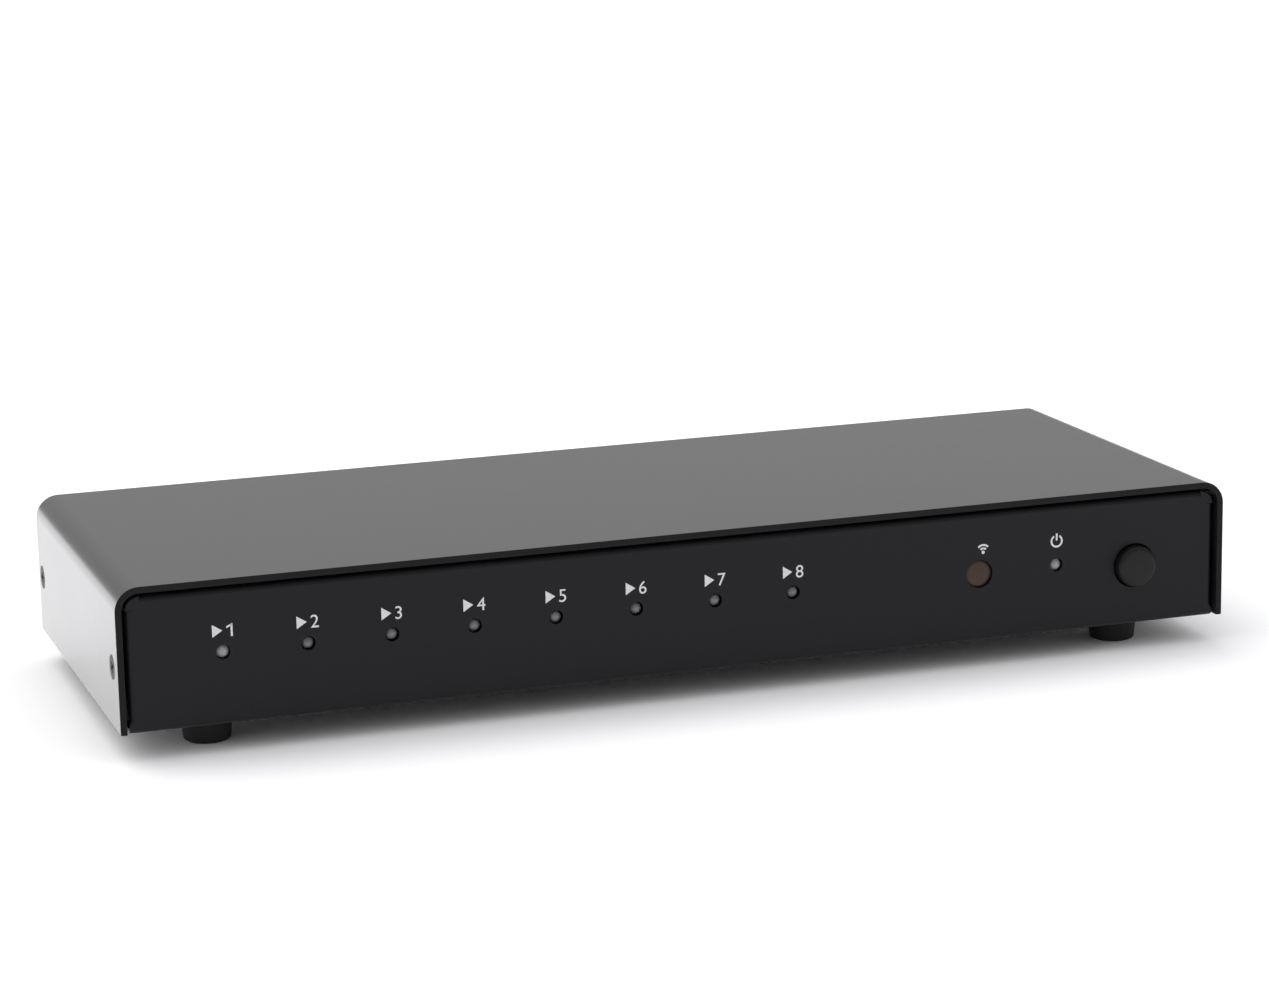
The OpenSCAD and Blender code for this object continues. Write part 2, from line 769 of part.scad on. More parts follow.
module inlet_body() {
    color("#1a1a1a")
        difference() {
            union() {
                translate([inlet_cx - inlet_w / 2, back_in_y - inlet_l, board_top])
                    cube([inlet_w, inlet_l, inlet_h]);
                translate([inlet_cx, nose_y, inlet_z])
                    facing_front() cylinder(d = nose_d, h = nose_y - back_in_y + past);
            }
            translate([inlet_cx, nose_y + past, inlet_z])
                facing_front() cylinder(d = barrel_d, h = barrel_l + past);
            translate([inlet_cx, nose_y - barrel_l + past, inlet_z])
                facing_front() cylinder(r = pin_d / 2 + press_gap, h = pin_root + past);
            translate([inlet_cx - sleeve_w / 2, nose_y - barrel_l, inlet_z - barrel_d / 2 - sleeve_t])
                cube([sleeve_w, barrel_l - pin_from, barrel_d / 2]);
        }
}

module inlet_pin() {
    color("#c9ccd0")
        translate([inlet_cx, nose_y - pin_from, inlet_z])
            facing_front() cylinder(d = pin_d, h = nose_y - pin_from - pin_end_y);
}

module inlet_sleeve_contact() {
    color("#c9ccd0")
        translate([inlet_cx - sleeve_w / 2, nose_y - barrel_l, inlet_z - barrel_d / 2 - sleeve_t])
            cube([sleeve_w, barrel_l - pin_from, sleeve_t]);
}

module lamp(x) {
    color("#c8cacc")
        translate([x, lamp_back_y, lamp_z])
            facing_front() rotate_extrude() {
                square([collar_d / 2, collar_t]);
                square([lamp_d / 2, lamp_l - lamp_d / 2]);
                translate([0, lamp_l - lamp_d / 2])
                    intersection() {
                        circle(d = lamp_d);
                        square(lamp_d);
                    }
            }
}

module lamp_leads() {
    color("#b9bcc0")
        for (lead = lamp_lead_places) {
            upright_lead(lead.x, lead.y, lamp_z + lead_t / 2, 0);
            translate([lead.x - lead_t / 2, lamp_back_y, lamp_z - lead_t / 2])
                cube([lead_t, lead_back, lead_t]);
        }
}

module infrared_window() {
    color("#3a1512")
        translate([eye_cx, panel_in_y + eye_t, eye_z])
            facing_front() cylinder(r = eye_d / 2 + eye_rim, h = eye_t);
}

module infrared_receiver() {
    color("#1d1a1c") {
        translate([eye_cx - eye_body_w / 2, eye_body_y, eye_z - eye_body_h / 2])
            cube([eye_body_w, eye_body_t, eye_body_h]);
        translate([eye_cx, eye_body_y + past, eye_z])
            facing_front() rotate_extrude() {
                square([dome_r, past]);
                translate([0, past])
                    intersection() {
                        circle(dome_r);
                        square(dome_r);
                    }
            }
    }
}

module receiver_leads() {
    color("#b9bcc0")
        for (lead = eye_leads) upright_lead(lead.x, lead.y, eye_z - eye_body_h / 2, 0);
}

module button_cap() {
    hole_w = stem_w + 2 * stem_gap;
    color("#202123")
        difference() {
            translate([button_cx, button_back_y, button_z])
                facing_front() rotate_extrude() {
                    square([button_d / 2, button_l - button_edge]);
                    square([button_d / 2 - button_edge, button_l]);
                    translate([button_d / 2 - button_edge, button_l - button_edge]) circle(button_edge);
                }
            translate([button_cx - hole_w / 2, button_back_y - stem_in, button_z - hole_w / 2])
                cube([hole_w, stem_in + past, hole_w]);
        }
}

module switch_plunger() {
    color("#d8d8d2") {
        translate([button_cx - stem_w / 2, button_back_y - stem_in, button_z - stem_w / 2])
            cube([stem_w, plunger_y - button_back_y + stem_in + past, stem_w]);
        translate([button_cx - plunger_w / 2, plunger_y, button_z - plunger_w / 2])
            cube([plunger_w, plunger_t, plunger_w]);
    }
}

module switch_housing() {
    slot_w = stem_w + 2 * plunger_gap;
    color("#2a2b2e")
        difference() {
            translate([button_cx - switch_w / 2, switch_y, board_top])
                cube([switch_w, switch_l, switch_top - board_top]);
            translate([button_cx - cavity_w / 2, plunger_y, button_z - cavity_w / 2])
                cube([cavity_w, cavity_end_y - plunger_y, cavity_w]);
            translate([button_cx - slot_w / 2, switch_y - past, button_z - slot_w / 2])
                cube([slot_w, switch_t + 2 * past, slot_w]);
        }
}

// Rings of the return spring: sides round the wire, steps in each turn
spring_sides = 6;
spring_steps = 12;
spring_rings = coil_turns * spring_steps;
spring_points = [
    for (i = [0 : spring_rings], j = [0 : spring_sides - 1])
        let (
            turn = 360 * i / spring_steps,
            side = 360 * j / spring_sides,
            r = coil_d / 2 + wire_d / 2 * cos(side),
            y = wire_d / 2 + (spring_l - wire_d) * i / spring_rings + wire_d / 2 * sin(side)
        )
        [r * cos(turn), y, r * sin(turn)]
];
spring_faces = concat(
    [[for (j = [0 : spring_sides - 1]) j]],
    [
        for (i = [0 : spring_rings - 1], j = [0 : spring_sides - 1], half = [0, 1])
            let (
                a = i * spring_sides + j,
                b = i * spring_sides + (j + 1) % spring_sides
            )
            half == 0 ? [a, a + spring_sides, b] : [b, a + spring_sides, b + spring_sides]
    ],
    [[for (j = [spring_sides - 1 : -1 : 0]) spring_rings * spring_sides + j]]
);

module switch_spring() {
    color("#c9ccd0")
        translate([button_cx, spring_from, button_z])
            polyhedron(points = spring_points, faces = spring_faces);
}

module switching_chips() {
    color("#1b1b1d") {
        for (x = chip_places)
            translate([x, chip_y, board_top]) chip(chip_w, chip_w, chip_t);
        translate([output_place, chip_y, board_top]) chip(output_chip_w, output_chip_w, chip_t);
    }
}

module control_chip() {
    color("#1b1b1d")
        translate([control_x, control_y, board_top]) chip(control_l, control_w, control_t);
}

module crystal_can() {
    color("#c4c7cb")
        translate([crystal_x, control_y, board_top]) {
            translate([-crystal_l / 2 + crystal_w / 2, -crystal_w / 2, 0])
                cube([crystal_l - crystal_w, crystal_w, crystal_h]);
            for (side = [-1, 1])
                translate([side * (crystal_l - crystal_w) / 2, 0, 0])
                    cylinder(d = crystal_w, h = crystal_h);
        }
}

module voltage_regulator() {
    color("#1b1b1d")
        translate([inlet_cx, reg_y, board_top]) chip(reg_w, reg_l, reg_t);
}

module inductor() {
    color("#3b3c40")
        translate([coil_box_x, reg_y, board_top]) chip(coil_box_w, coil_box_w, coil_box_h);
}

module capacitors() {
    color("#aab0b6")
        for (i = [0, 1, 2])
            translate([coil_box_x, cap_y - i * cap_pitch, board_top])
                difference() {
                    cylinder(d = cap_d, h = cap_h);
                    translate([0, 0, cap_groove_h])
                        rotate_extrude()
                            translate([cap_d / 2, 0]) circle(cap_groove);
                }
}

top_cover();
base_chassis();
cover_screws();
foot_screws();
for (i = [0 : len(foot_names) - 1])
    foot(foot_places[i]);
board_standoffs();
main_board();
board_screws();
for (i = [0 : inputs])
    color("#b6b9bd") translate([socket_places[i], 0, board_top]) socket_shell();
for (i = [0 : inputs])
    color("#1a1a1a") translate([socket_places[i], 0, board_top]) socket_tongue();
socket_contacts();
inlet_body();
inlet_pin();
inlet_sleeve_contact();
for (i = [0 : inputs])
    lamp(lamp_places[i]);
lamp_leads();
infrared_window();
infrared_receiver();
receiver_leads();
button_cap();
switch_plunger();
switch_spring();
switch_housing();
switching_chips();
control_chip();
crystal_can();
voltage_regulator();
inductor();
capacitors();
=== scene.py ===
import json
import math

import bmesh
import bpy
from mathutils import Matrix, Vector


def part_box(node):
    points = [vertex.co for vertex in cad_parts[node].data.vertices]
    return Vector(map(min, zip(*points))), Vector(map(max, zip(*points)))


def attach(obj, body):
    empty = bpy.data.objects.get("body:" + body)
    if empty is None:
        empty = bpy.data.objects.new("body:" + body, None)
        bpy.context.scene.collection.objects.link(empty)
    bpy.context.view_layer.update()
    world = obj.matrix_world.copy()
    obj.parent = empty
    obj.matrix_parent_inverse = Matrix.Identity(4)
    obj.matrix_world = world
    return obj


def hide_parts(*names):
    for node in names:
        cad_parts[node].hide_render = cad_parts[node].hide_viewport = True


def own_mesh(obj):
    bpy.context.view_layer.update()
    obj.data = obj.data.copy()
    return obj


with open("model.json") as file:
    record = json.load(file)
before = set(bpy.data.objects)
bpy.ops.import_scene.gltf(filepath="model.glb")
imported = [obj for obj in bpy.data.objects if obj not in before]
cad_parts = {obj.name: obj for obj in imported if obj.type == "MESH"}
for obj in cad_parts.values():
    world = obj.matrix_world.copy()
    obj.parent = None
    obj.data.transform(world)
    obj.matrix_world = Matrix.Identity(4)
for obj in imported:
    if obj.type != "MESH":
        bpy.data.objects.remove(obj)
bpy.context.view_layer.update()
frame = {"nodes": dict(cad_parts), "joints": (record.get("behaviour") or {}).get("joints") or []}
nodes = frame["nodes"]
mm = 0.001
print("frame loaded:", len(nodes), "nodes")


# selecting and shaping by hand

def letGo():
    if bpy.context.mode != "OBJECT":
        bpy.ops.object.mode_set(mode="OBJECT")
    bpy.ops.object.select_all(action="DESELECT")


def grab(*pieces):
    letGo()
    for piece in pieces:
        piece.select_set(True)
    bpy.context.view_layer.objects.active = pieces[-1]


def edit(piece, kind):
    grab(piece)
    bpy.ops.object.mode_set(mode="EDIT")
    bpy.ops.mesh.select_mode(type=kind)
    bpy.ops.mesh.select_all(action="DESELECT")


# stays in edit mode with what passes the test selected
def pick(piece, kind, test):
    edit(piece, kind)
    mesh = bmesh.from_edit_mesh(piece.data)
    mesh.normal_update()
    parts = {"VERT": mesh.verts, "EDGE": mesh.edges, "FACE": mesh.faces}[kind]
    for part in [part for part in parts if test(part)]:
        part.select_set(True)
    mesh.select_flush_mode()
    bmesh.update_edit_mesh(piece.data)


axisX, axisY, axisZ = range(3)
samePlace = 0.004 * mm  # points nearer than this count as one
hair = 0.001 * mm
facing = 0.5  # share of a normal along an axis at which a face looks that way
straight = 0.99
sharpFold = 1  # radians
flatTurn = 0.2  # degrees
beyond = 1 * mm  # how far a cutter reaches past a face


def near(a, b):
    return abs(a - b) < samePlace


def middle(edge):
    return (edge.verts[0].co + edge.verts[1].co) / 2


def runsAlong(edge, axis):
    step = edge.verts[1].co - edge.verts[0].co
    return abs(step[axis]) > straight * step.length


def isFold(edge):
    return len(edge.link_faces) == 2 and edge.calc_face_angle() > sharpFold


# tests for pick
def liesAt(axis, place):
    return lambda edge: all(near(vert.co[axis], place) for vert in edge.verts)


def looksTo(axis, side):
    return lambda face: face.normal[axis] * side > facing


def applyModifier(piece, kind, **settings):
    grab(piece)
    modifier = piece.modifiers.new(kind.lower(), kind)
    for key, value in settings.items():
        setattr(modifier, key, value)
    bpy.ops.object.modifier_apply(modifier=modifier.name)


def startBlock(name, low, high):
    letGo()
    bpy.ops.mesh.primitive_cube_add(size=1, location=(Vector(low) + Vector(high)) / 2)
    piece = bpy.context.object
    piece.name = name
    piece.scale = Vector(high) - Vector(low)
    bpy.ops.object.transform_apply(location=True, rotation=True, scale=True)
    return piece


rodTurns = {"X": (0, math.pi / 2, 0), "Y": (math.pi / 2, 0, 0), "Z": (0, 0, 0)}


def startRod(name, centre, radius, length, axis, sides=48):
    letGo()
    bpy.ops.mesh.primitive_cylinder_add(
        vertices=sides, radius=radius, depth=length, location=centre, rotation=rodTurns[axis]
    )
    piece = bpy.context.object
    piece.name = name
    bpy.ops.object.transform_apply(location=True, rotation=True, scale=True)
    return piece


def joinUp(pieces):
    grab(*pieces)
    if len(pieces) > 1:
        bpy.ops.object.join()
    return bpy.context.object


def combine(piece, others, operation):
    other = joinUp(others)
    applyModifier(piece, "BOOLEAN", operation=operation, object=other, solver="EXACT")
    bpy.data.objects.remove(other)


def cutAway(piece, cutters):
    combine(piece, cutters, "DIFFERENCE")


def weld(piece, others):
    combine(piece, others, "UNION")


def bevelPicked(width, steps=1):
    bpy.ops.mesh.bevel(offset=width, segments=steps, affect="EDGES")


def bisectAt(piece, axis, places):
    direction = [0, 0, 0]
    direction[axis] = 1
    for place in places:
        edit(piece, "FACE")
        bpy.ops.mesh.select_all(action="SELECT")
        bpy.ops.mesh.bisect(plane_co=[place * part for part in direction], plane_no=direction)


def mergeMesh(piece):
    edit(piece, "VERT")
    bpy.ops.mesh.select_all(action="SELECT")
    bpy.ops.mesh.remove_doubles(threshold=hair)
    bpy.ops.mesh.dissolve_limited(angle_limit=math.radians(flatTurn))
    letGo()


# a copy has its own mesh, with its place in the mesh
def copyTo(piece, name, matrix):
    twin = piece.copy()
    twin.data = piece.data.copy()
    twin.name = name
    twin.data.transform(matrix)
    bpy.context.scene.collection.objects.link(twin)
    return twin


# one piece made of copies of a model
def joinCopies(model, name, places):
    piece = joinUp([copyTo(model, name, place) for place in places])
    bpy.data.objects.remove(model)
    piece.name = name
    return piece


# faces that were left without width are closed up
def closeUp(piece):
    edit(piece, "VERT")
    bpy.ops.mesh.select_all(action="SELECT")
    bpy.ops.mesh.remove_doubles(threshold=samePlace)
    bpy.ops.mesh.dissolve_degenerate(threshold=samePlace / 2)
    letGo()


def roundEdges(piece, width, steps=2, angle=40):
    applyModifier(
        piece, "BEVEL", width=width, segments=steps, limit_method="ANGLE",
        angle_limit=math.radians(angle), use_clamp_overlap=True,
    )
    closeUp(piece)


def smooth(piece, angle=38):
    grab(piece)
    bpy.ops.object.shade_smooth_by_angle(angle=math.radians(angle))
    applyModifier(piece, "WEIGHTED_NORMAL", keep_sharp=True, weight=100)


def finishPiece(piece, finish, body, replaced=()):
    piece.data.materials.clear()
    piece.data.materials.append(finish)
    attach(piece, body)
    if replaced:
        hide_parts(*replaced)
    letGo()


# shader maths on sockets

class Wire:
    def __init__(self, tree, socket=None):
        self.tree = tree
        self.socket = socket

    def node(self, kind, settings=None, sockets=None, out=0):
        made = self.tree.nodes.new(kind)
        for key, value in (settings or {}).items():
            setattr(made, key, value)
        for key, value in (sockets or {}).items():
            if isinstance(value, Wire):
                self.tree.links.new(value.socket, made.inputs[key])
            else:
                made.inputs[key].default_value = value
        return Wire(self.tree, made.outputs[out])

    def maths(self, operation, first, second):
        return self.node("ShaderNodeMath", {"operation": operation}, {0: first, 1: second})

    def __add__(self, other):
        return self.maths("ADD", self, other)

    def __mul__(self, other):
        return self.maths("MULTIPLY", self, other)

    __radd__ = __add__
    __rmul__ = __mul__

    def noise(self, scale, detail=2, rough=0.5):
        return self.node(
            "ShaderNodeTexNoise", {},
            {"Vector": self, "Scale": scale, "Detail": detail, "Roughness": rough},
        )

    def span(self, low, high, toLow=0, toHigh=1):
        return self.node(
            "ShaderNodeMapRange", {},
            {"Value": self, "From Min": low, "From Max": high, "To Min": toLow, "To Max": toHigh},
        )

    def power(self, exponent):
        return self.maths("POWER", self.maths("ABSOLUTE", self, 0), exponent)

    def scaled(self, amount):
        return self.node("ShaderNodeVectorMath", {"operation": "SCALE"}, {0: self, "Scale": amount})

    def blend(self, first, second):
        return self.node(
            "ShaderNodeMix", {"data_type": "RGBA"}, {0: self, 6: first, 7: second}, out=2
        )

    def axis(self, name):
        return self.node("ShaderNodeSeparateXYZ", {}, {0: self}, out=name)

    def stretched(self, scale):
        return self.node("ShaderNodeMapping", {}, {"Vector": self, "Scale": scale})

    def bump(self, strength, depth):
        return self.node(
            "ShaderNodeBump", {}, {"Strength": strength, "Distance": depth, "Height": self},
            out="Normal",
        )


def startFinish(name, fixed):
    material = bpy.data.materials.new(name)
    material.use_nodes = True
    shader = material.node_tree.nodes["Principled BSDF"]
    for key, value in fixed.items():
        shader.inputs[key].default_value = value
    place = Wire(material.node_tree).node("ShaderNodeTexCoord", out="Object")
    return material, shader, place


def feed(material, shader, wires):
    for key, wire in wires.items():
        material.node_tree.links.new(wire.socket, shader.inputs[key])
    return material


def mixInto(material, share, first, second):
    tree = material.node_tree
    mixed = share.node("ShaderNodeMixShader", {}, {0: share, 1: first, 2: second})
    tree.links.new(mixed.socket, tree.nodes["Material Output"].inputs["Surface"])


def grey(level):
    return (level, level, level, 1)


# baked paint with a fine orange peel; on the cover the cut edges of the sheet are painted darker and
# duller, as painted shade
def paintFinish(name, look):
    material, shader, place = startFinish(name, look["fixed"])
    peel = place.noise(look["peelScale"], detail=3)
    grain = place.noise(look["grainScale"], detail=1)
    smear = place.noise(look["smearScale"], detail=4, rough=0.6)
    relief = (peel + grain * look["grainBump"]).bump(look["bump"], look["depth"])
    feed(material, shader, {
        "Base Color": smear.blend(look["dark"], look["light"]),
        "Roughness": smear * look["roughSpan"] + grain * look["grainRough"] + look["rough"],
        "Normal": relief,
    })
    # painted shade on the front and rear cut edges of the cover: a darker, less glossy shader mixed in
    # by distance from the middle
    if "cutShadeAt" in look:
        fromMiddle = place.maths("ABSOLUTE", place.axis("Y"), 0)
        cutEdgeShade = place.node("ShaderNodeBsdfPrincipled", {}, {
            "Base Color": smear.blend(look["cutShadeDark"], look["cutShadeLight"]), "Normal": relief,
            "Roughness": look["cutShadeRough"], "Specular IOR Level": look["cutShadeGloss"],
        })
        mixInto(material, fromMiddle.span(*look["cutShadeAt"]), Wire(place.tree, shader.outputs[0]), cutEdgeShade)
    return material


# metal with fine scratches along one direction and a little tarnish
def metalFinish(name, look):
    material, shader, place = startFinish(name, {"Metallic": 1, "IOR": 2.2, **look["fixed"]})
    scratch = place.stretched(look["along"]).noise(look["scratchScale"], detail=4, rough=0.65)
    tarnish = place.noise(look["tarnishScale"], detail=3)
    dulled = tarnish.span(look["tarnishFrom"], look["tarnishTo"])
    return feed(material, shader, {
        "Base Color": dulled.blend(look["bright"], look["dull"]),
        "Roughness": scratch * look["scratchRough"] + tarnish * look["tarnishRough"] + look["rough"],
        "Normal": scratch.bump(look["bump"], look["scratchDepth"]),
    })


# moulded plastic or rubber with a fine grain
def mouldFinish(name, look):
    material, shader, place = startFinish(name, look["fixed"])
    grain = place.noise(look["grainScale"], detail=3)
    cloud = place.noise(look["cloudScale"], detail=3)
    paled = cloud.span(look["cloudFrom"], look["cloudTo"])
    return feed(material, shader, {
        "Base Color": paled.blend(look["dark"], look["light"]),
        "Roughness": cloud * look["cloudRough"] + grain * look["grainRough"] + look["rough"],
        "Normal": grain.bump(look["bump"], look["depth"]),
    })


# solder mask with traces that run in steps under it
def boardFinish(name, look):
    material, shader, place = startFinish(name, look["fixed"])
    cells = place.node(
        "ShaderNodeTexVoronoi", {"distance": "CHEBYCHEV", "feature": "DISTANCE_TO_EDGE"},
        {"Vector": place, "Scale": look["cellScale"]},
    )
    trace = cells.span(look["traceFrom"], look["traceTo"])
    cloud = place.noise(look["cloudScale"])
    base = trace.blend(look["trace"], look["mask"])
    return feed(material, shader, {
        "Base Color": (cloud * look["cloudShare"]).blend(base, look["mask"]),
        "Roughness": cloud * look["cloudRough"] + look["rough"],
        "Normal": trace.bump(look["bump"], look["depth"]),
    })


# what the looks of a kind have in common stands first
paintBase = {
    "grainScale": 5200, "depth": 0.02 * mm, "grainBump": 0.5, "grainRough": 0.04, "cutShadeRough": 0.6,
}
paints = {
    "cover": {
        "fixed": {"IOR": 1.5, "Coat Weight": 1, "Coat Roughness": 0.2},
        "dark": grey(0.009), "light": (0.0125, 0.0122, 0.0128, 1),
        "rough": 0.26, "roughSpan": 0.08, "smearScale": 14, "peelScale": 1100, "bump": 0.12,
        # painted shade on the cut edges of the sheet: darker colour and less gloss
        "cutShadeDark": grey(0.006), "cutShadeLight": grey(0.009), "cutShadeGloss": 0.16,
        "cutShadeAt": (49.25 * mm, 49.4 * mm),
    },
    # the chassis paint is a darker, bluer and less glossy copy of the cover paint: painted shade,
    # tinted blue, on the front panel
    "chassis": {
        "fixed": {"IOR": 1.5, "Specular IOR Level": 0.19},
        "dark": (0.0046, 0.0049, 0.0062, 1), "light": (0.0064, 0.0068, 0.0085, 1),
        "rough": 0.36, "roughSpan": 0.1, "smearScale": 20, "peelScale": 1300, "bump": 0.15,
    },
}
metalBase = {
    "bump": 0.1, "scratchScale": 1500, "tarnishScale": 900, "tarnishFrom": 0.35, "tarnishTo": 0.75,
    "scratchRough": 0.18, "tarnishRough": 0.1, "scratchDepth": 0.01 * mm, "fixed": {},
}
metals = {
    "screwBlack": {
        "bright": grey(0.022), "dull": grey(0.012), "rough": 0.32, "bump": 0.15,
        "along": (1, 1, 1), "scratchScale": 1800,
        "fixed": {"Metallic": 0.3, "IOR": 1.45, "Specular IOR Level": 0.45},
    },
    "screwZinc": {
        "bright": (0.62, 0.63, 0.65, 1), "dull": (0.45, 0.46, 0.47, 1), "rough": 0.24, "bump": 0.15,
        "along": (1, 1, 1), "tarnishScale": 700,
    },
    "standoffBrass": {
        "bright": (0.72, 0.55, 0.25, 1), "dull": (0.5, 0.37, 0.16, 1), "rough": 0.22,
        "along": (1, 1, 6), "scratchScale": 900, "tarnishScale": 500,
    },
    "shellSteel": {
        "bright": (0.66, 0.66, 0.67, 1), "dull": (0.5, 0.5, 0.51, 1), "rough": 0.2, "bump": 0.2,
        "along": (1, 8, 1), "scratchScale": 700, "tarnishScale": 350,
    },
    "contactGold": {
        "bright": (0.86, 0.63, 0.25, 1), "dull": (0.68, 0.47, 0.17, 1), "rough": 0.16,
        "along": (6, 1, 1), "tarnishScale": 800,
    },
    "pinNickel": {
        "bright": (0.68, 0.67, 0.64, 1), "dull": (0.52, 0.51, 0.48, 1), "rough": 0.14,
        "along": (1, 6, 1), "scratchScale": 1200, "tarnishScale": 600,
    },
    "leadTin": {
        "bright": (0.6, 0.6, 0.6, 1), "dull": (0.42, 0.42, 0.43, 1), "rough": 0.3, "bump": 0.15,
        "along": (1, 1, 6),
    },
    "springSteel": {
        "bright": (0.6, 0.6, 0.62, 1), "dull": (0.42, 0.42, 0.44, 1), "rough": 0.2,
        "along": (1, 4, 1),
    },
    "canMetal": {
        "bright": (0.64, 0.65, 0.66, 1), "dull": (0.5, 0.51, 0.52, 1), "rough": 0.26, "bump": 0.12,
        "along": (6, 1, 1), "scratchScale": 1200, "tarnishScale": 500,
    },
}
mouldBase = {
    "bump": 0.2, "depth": 0.02 * mm, "grainScale": 2600, "cloudScale": 300,
    "cloudFrom": 0.3, "cloudTo": 0.7, "cloudRough": 0.12, "grainRough": 0.06, "fixed": {},
}
moulds = {
    "footRubber": {
        "dark": grey(0.008), "light": grey(0.014), "rough": 0.62, "bump": 0.3, "depth": 0.04 * mm,
        "cloudScale": 180, "fixed": {"Specular IOR Level": 0.3},
    },
    "tongueBlack": {
        "dark": grey(0.01), "light": grey(0.017), "rough": 0.42, "grainScale": 3200, "cloudScale": 260,
    },
    "inletBlack": {
        "dark": grey(0.009), "light": grey(0.015), "rough": 0.38, "grainScale": 3000, "cloudScale": 240,
    },
    "buttonBlack": {
        "dark": grey(0.005), "light": grey(0.008), "rough": 0.28,
        "grainScale": 3600, "cloudScale": 260, "fixed": {"Specular IOR Level": 0.21},
    },
    "lampLens": {
        "dark": (0.17, 0.17, 0.18, 1), "light": (0.25, 0.25, 0.26, 1), "rough": 0.16, "bump": 0.05,
        "depth": 0.01 * mm, "grainScale": 1800, "cloudScale": 900,
        "fixed": {"Transmission Weight": 0.35, "IOR": 1.5},
    },
    "lampLit": {
        "dark": (0.2, 0.2, 0.21, 1), "light": (0.27, 0.27, 0.28, 1), "rough": 0.16, "bump": 0.05,
        "depth": 0.01 * mm, "grainScale": 1800, "cloudScale": 900,
        "fixed": {"IOR": 1.5, "Emission Color": (1, 0.99, 0.97, 1), "Emission Strength": 0.035},
    },
    "windowRed": {
        "dark": (0.042, 0.024, 0.013, 1), "light": (0.055, 0.032, 0.018, 1), "rough": 0.22,
        "bump": 0.05, "depth": 0.01 * mm, "grainScale": 1800, "cloudScale": 400,
        "fixed": {"Specular IOR Level": 0.25},
    },
    "receiverBlack": {"dark": grey(0.012), "light": grey(0.02), "rough": 0.3, "bump": 0.1},
    "plungerWhite": {
        "dark": (0.6, 0.59, 0.55, 1), "light": (0.7, 0.69, 0.65, 1), "rough": 0.4, "bump": 0.1,
    },
    "switchBlack": {"dark": grey(0.016), "light": grey(0.025), "rough": 0.4},
    "chipBlack": {
        "dark": grey(0.012), "light": grey(0.02), "rough": 0.52, "bump": 0.3, "grainScale": 4200,
    },
    "inductorGrey": {
        "dark": grey(0.04), "light": grey(0.06), "rough": 0.5, "bump": 0.3, "depth": 0.03 * mm,
        "grainScale": 3000,
    },
    "printInk": {
        "dark": grey(0.66), "light": grey(0.78), "rough": 0.5, "bump": 0.1, "depth": 0.01 * mm,
        "grainScale": 4000, "cloudScale": 1400,
    },
}
boards = {
    "boardMask": {
        "mask": (0.012, 0.075, 0.03, 1), "trace": (0.03, 0.16, 0.07, 1), "rough": 0.3,
        "cellScale": 260, "traceFrom": 0.02, "traceTo": 0.06, "bump": 0.3, "depth": 0.03 * mm,
        "cloudScale": 60, "cloudShare": 0.3, "cloudRough": 0.1,
        "fixed": {"Coat Weight": 0.4, "Coat Roughness": 0.15},
    },
}
finishes = {}
for makeFinish, base, looks in (
    (paintFinish, paintBase, paints), (metalFinish, metalBase, metals),
    (mouldFinish, mouldBase, moulds), (boardFinish, {}, boards),
):
    for name, look in looks.items():
        finishes[name] = makeFinish(name, {**base, **look})
print("finishes made:", len(finishes))


# studio

# place in metres, angles in degrees, lens and sensor in millimetres
cameraSetup = {
    "place": (-0.2665, -0.7884, 0.2260), "turnRight": 18.799, "lookDown": 12.798, "lean": -1.087,
    "lens": 100.69, "sensor": 36, "clipFrom": 0.01,
}


def makeCamera(setup):
    turn = (
        Matrix.Rotation(math.radians(-setup["turnRight"]), 4, "Z")
        @ Matrix.Rotation(math.radians(90 - setup["lookDown"]), 4, "X")
        @ Matrix.Rotation(math.radians(setup["lean"]), 4, "Z")
    )
    letGo()
    bpy.ops.object.camera_add(location=setup["place"], rotation=turn.to_euler())
    camera = bpy.context.object
    camera.name = "photoCamera"
    camera.data.sensor_fit = "HORIZONTAL"
    camera.data.sensor_width = setup["sensor"]
    camera.data.lens = setup["lens"]
    camera.data.clip_start = setup["clipFrom"]
    bpy.context.scene.camera = camera


studio = {
    "floorSize": 40, "floorDark": grey(0.9), "floorLight": grey(0.93), "paperScale": 6,
    "floorFixed": {"Roughness": 0.9, "Specular IOR Level": 0.1},
    "floorSeen": 1.22, "floorShine": 1.38,  # paler to the camera and in reflections
    "skyLow": 0.405, "skyHigh": 0.85, "skyFrom": 0.3, "skyTo": 0.8,
    "bothSides": 2.0, "leftSide": 0.6, "sideNarrow": 6, "wallsShine": 0.08,
    "skyTint": (1, 0.985, 1.005, 1),
    "sunFrom": (-0.34, 0.41, 0.85), "sunPower": 1.0, "sunAngle": 60,  # degrees
}


# one where a ray comes from a reflection or through a clear piece
def shineOf(wire):
    return (
        wire.node("ShaderNodeLightPath", out="Is Glossy Ray")
        + wire.node("ShaderNodeLightPath", out="Is Transmission Ray")
    )


def makeFloor(setup):
    letGo()
    bpy.ops.mesh.primitive_plane_add(size=setup["floorSize"], location=(0, 0, 0))
    floor = bpy.context.object
    floor.name = "studioFloor"
    material, shader, place = startFinish("floorPaper", setup["floorFixed"])
    seen = place.node("ShaderNodeLightPath", out="Is Camera Ray")
    paper = place.noise(setup["paperScale"]).blend(setup["floorDark"], setup["floorLight"])
    paler = seen.span(0, 1, 1, setup["floorSeen"]) * shineOf(place).span(0, 1, 1, setup["floorShine"])
    feed(material, shader, {"Base Color": paper.scaled(paler)})
    floor.data.materials.append(material)


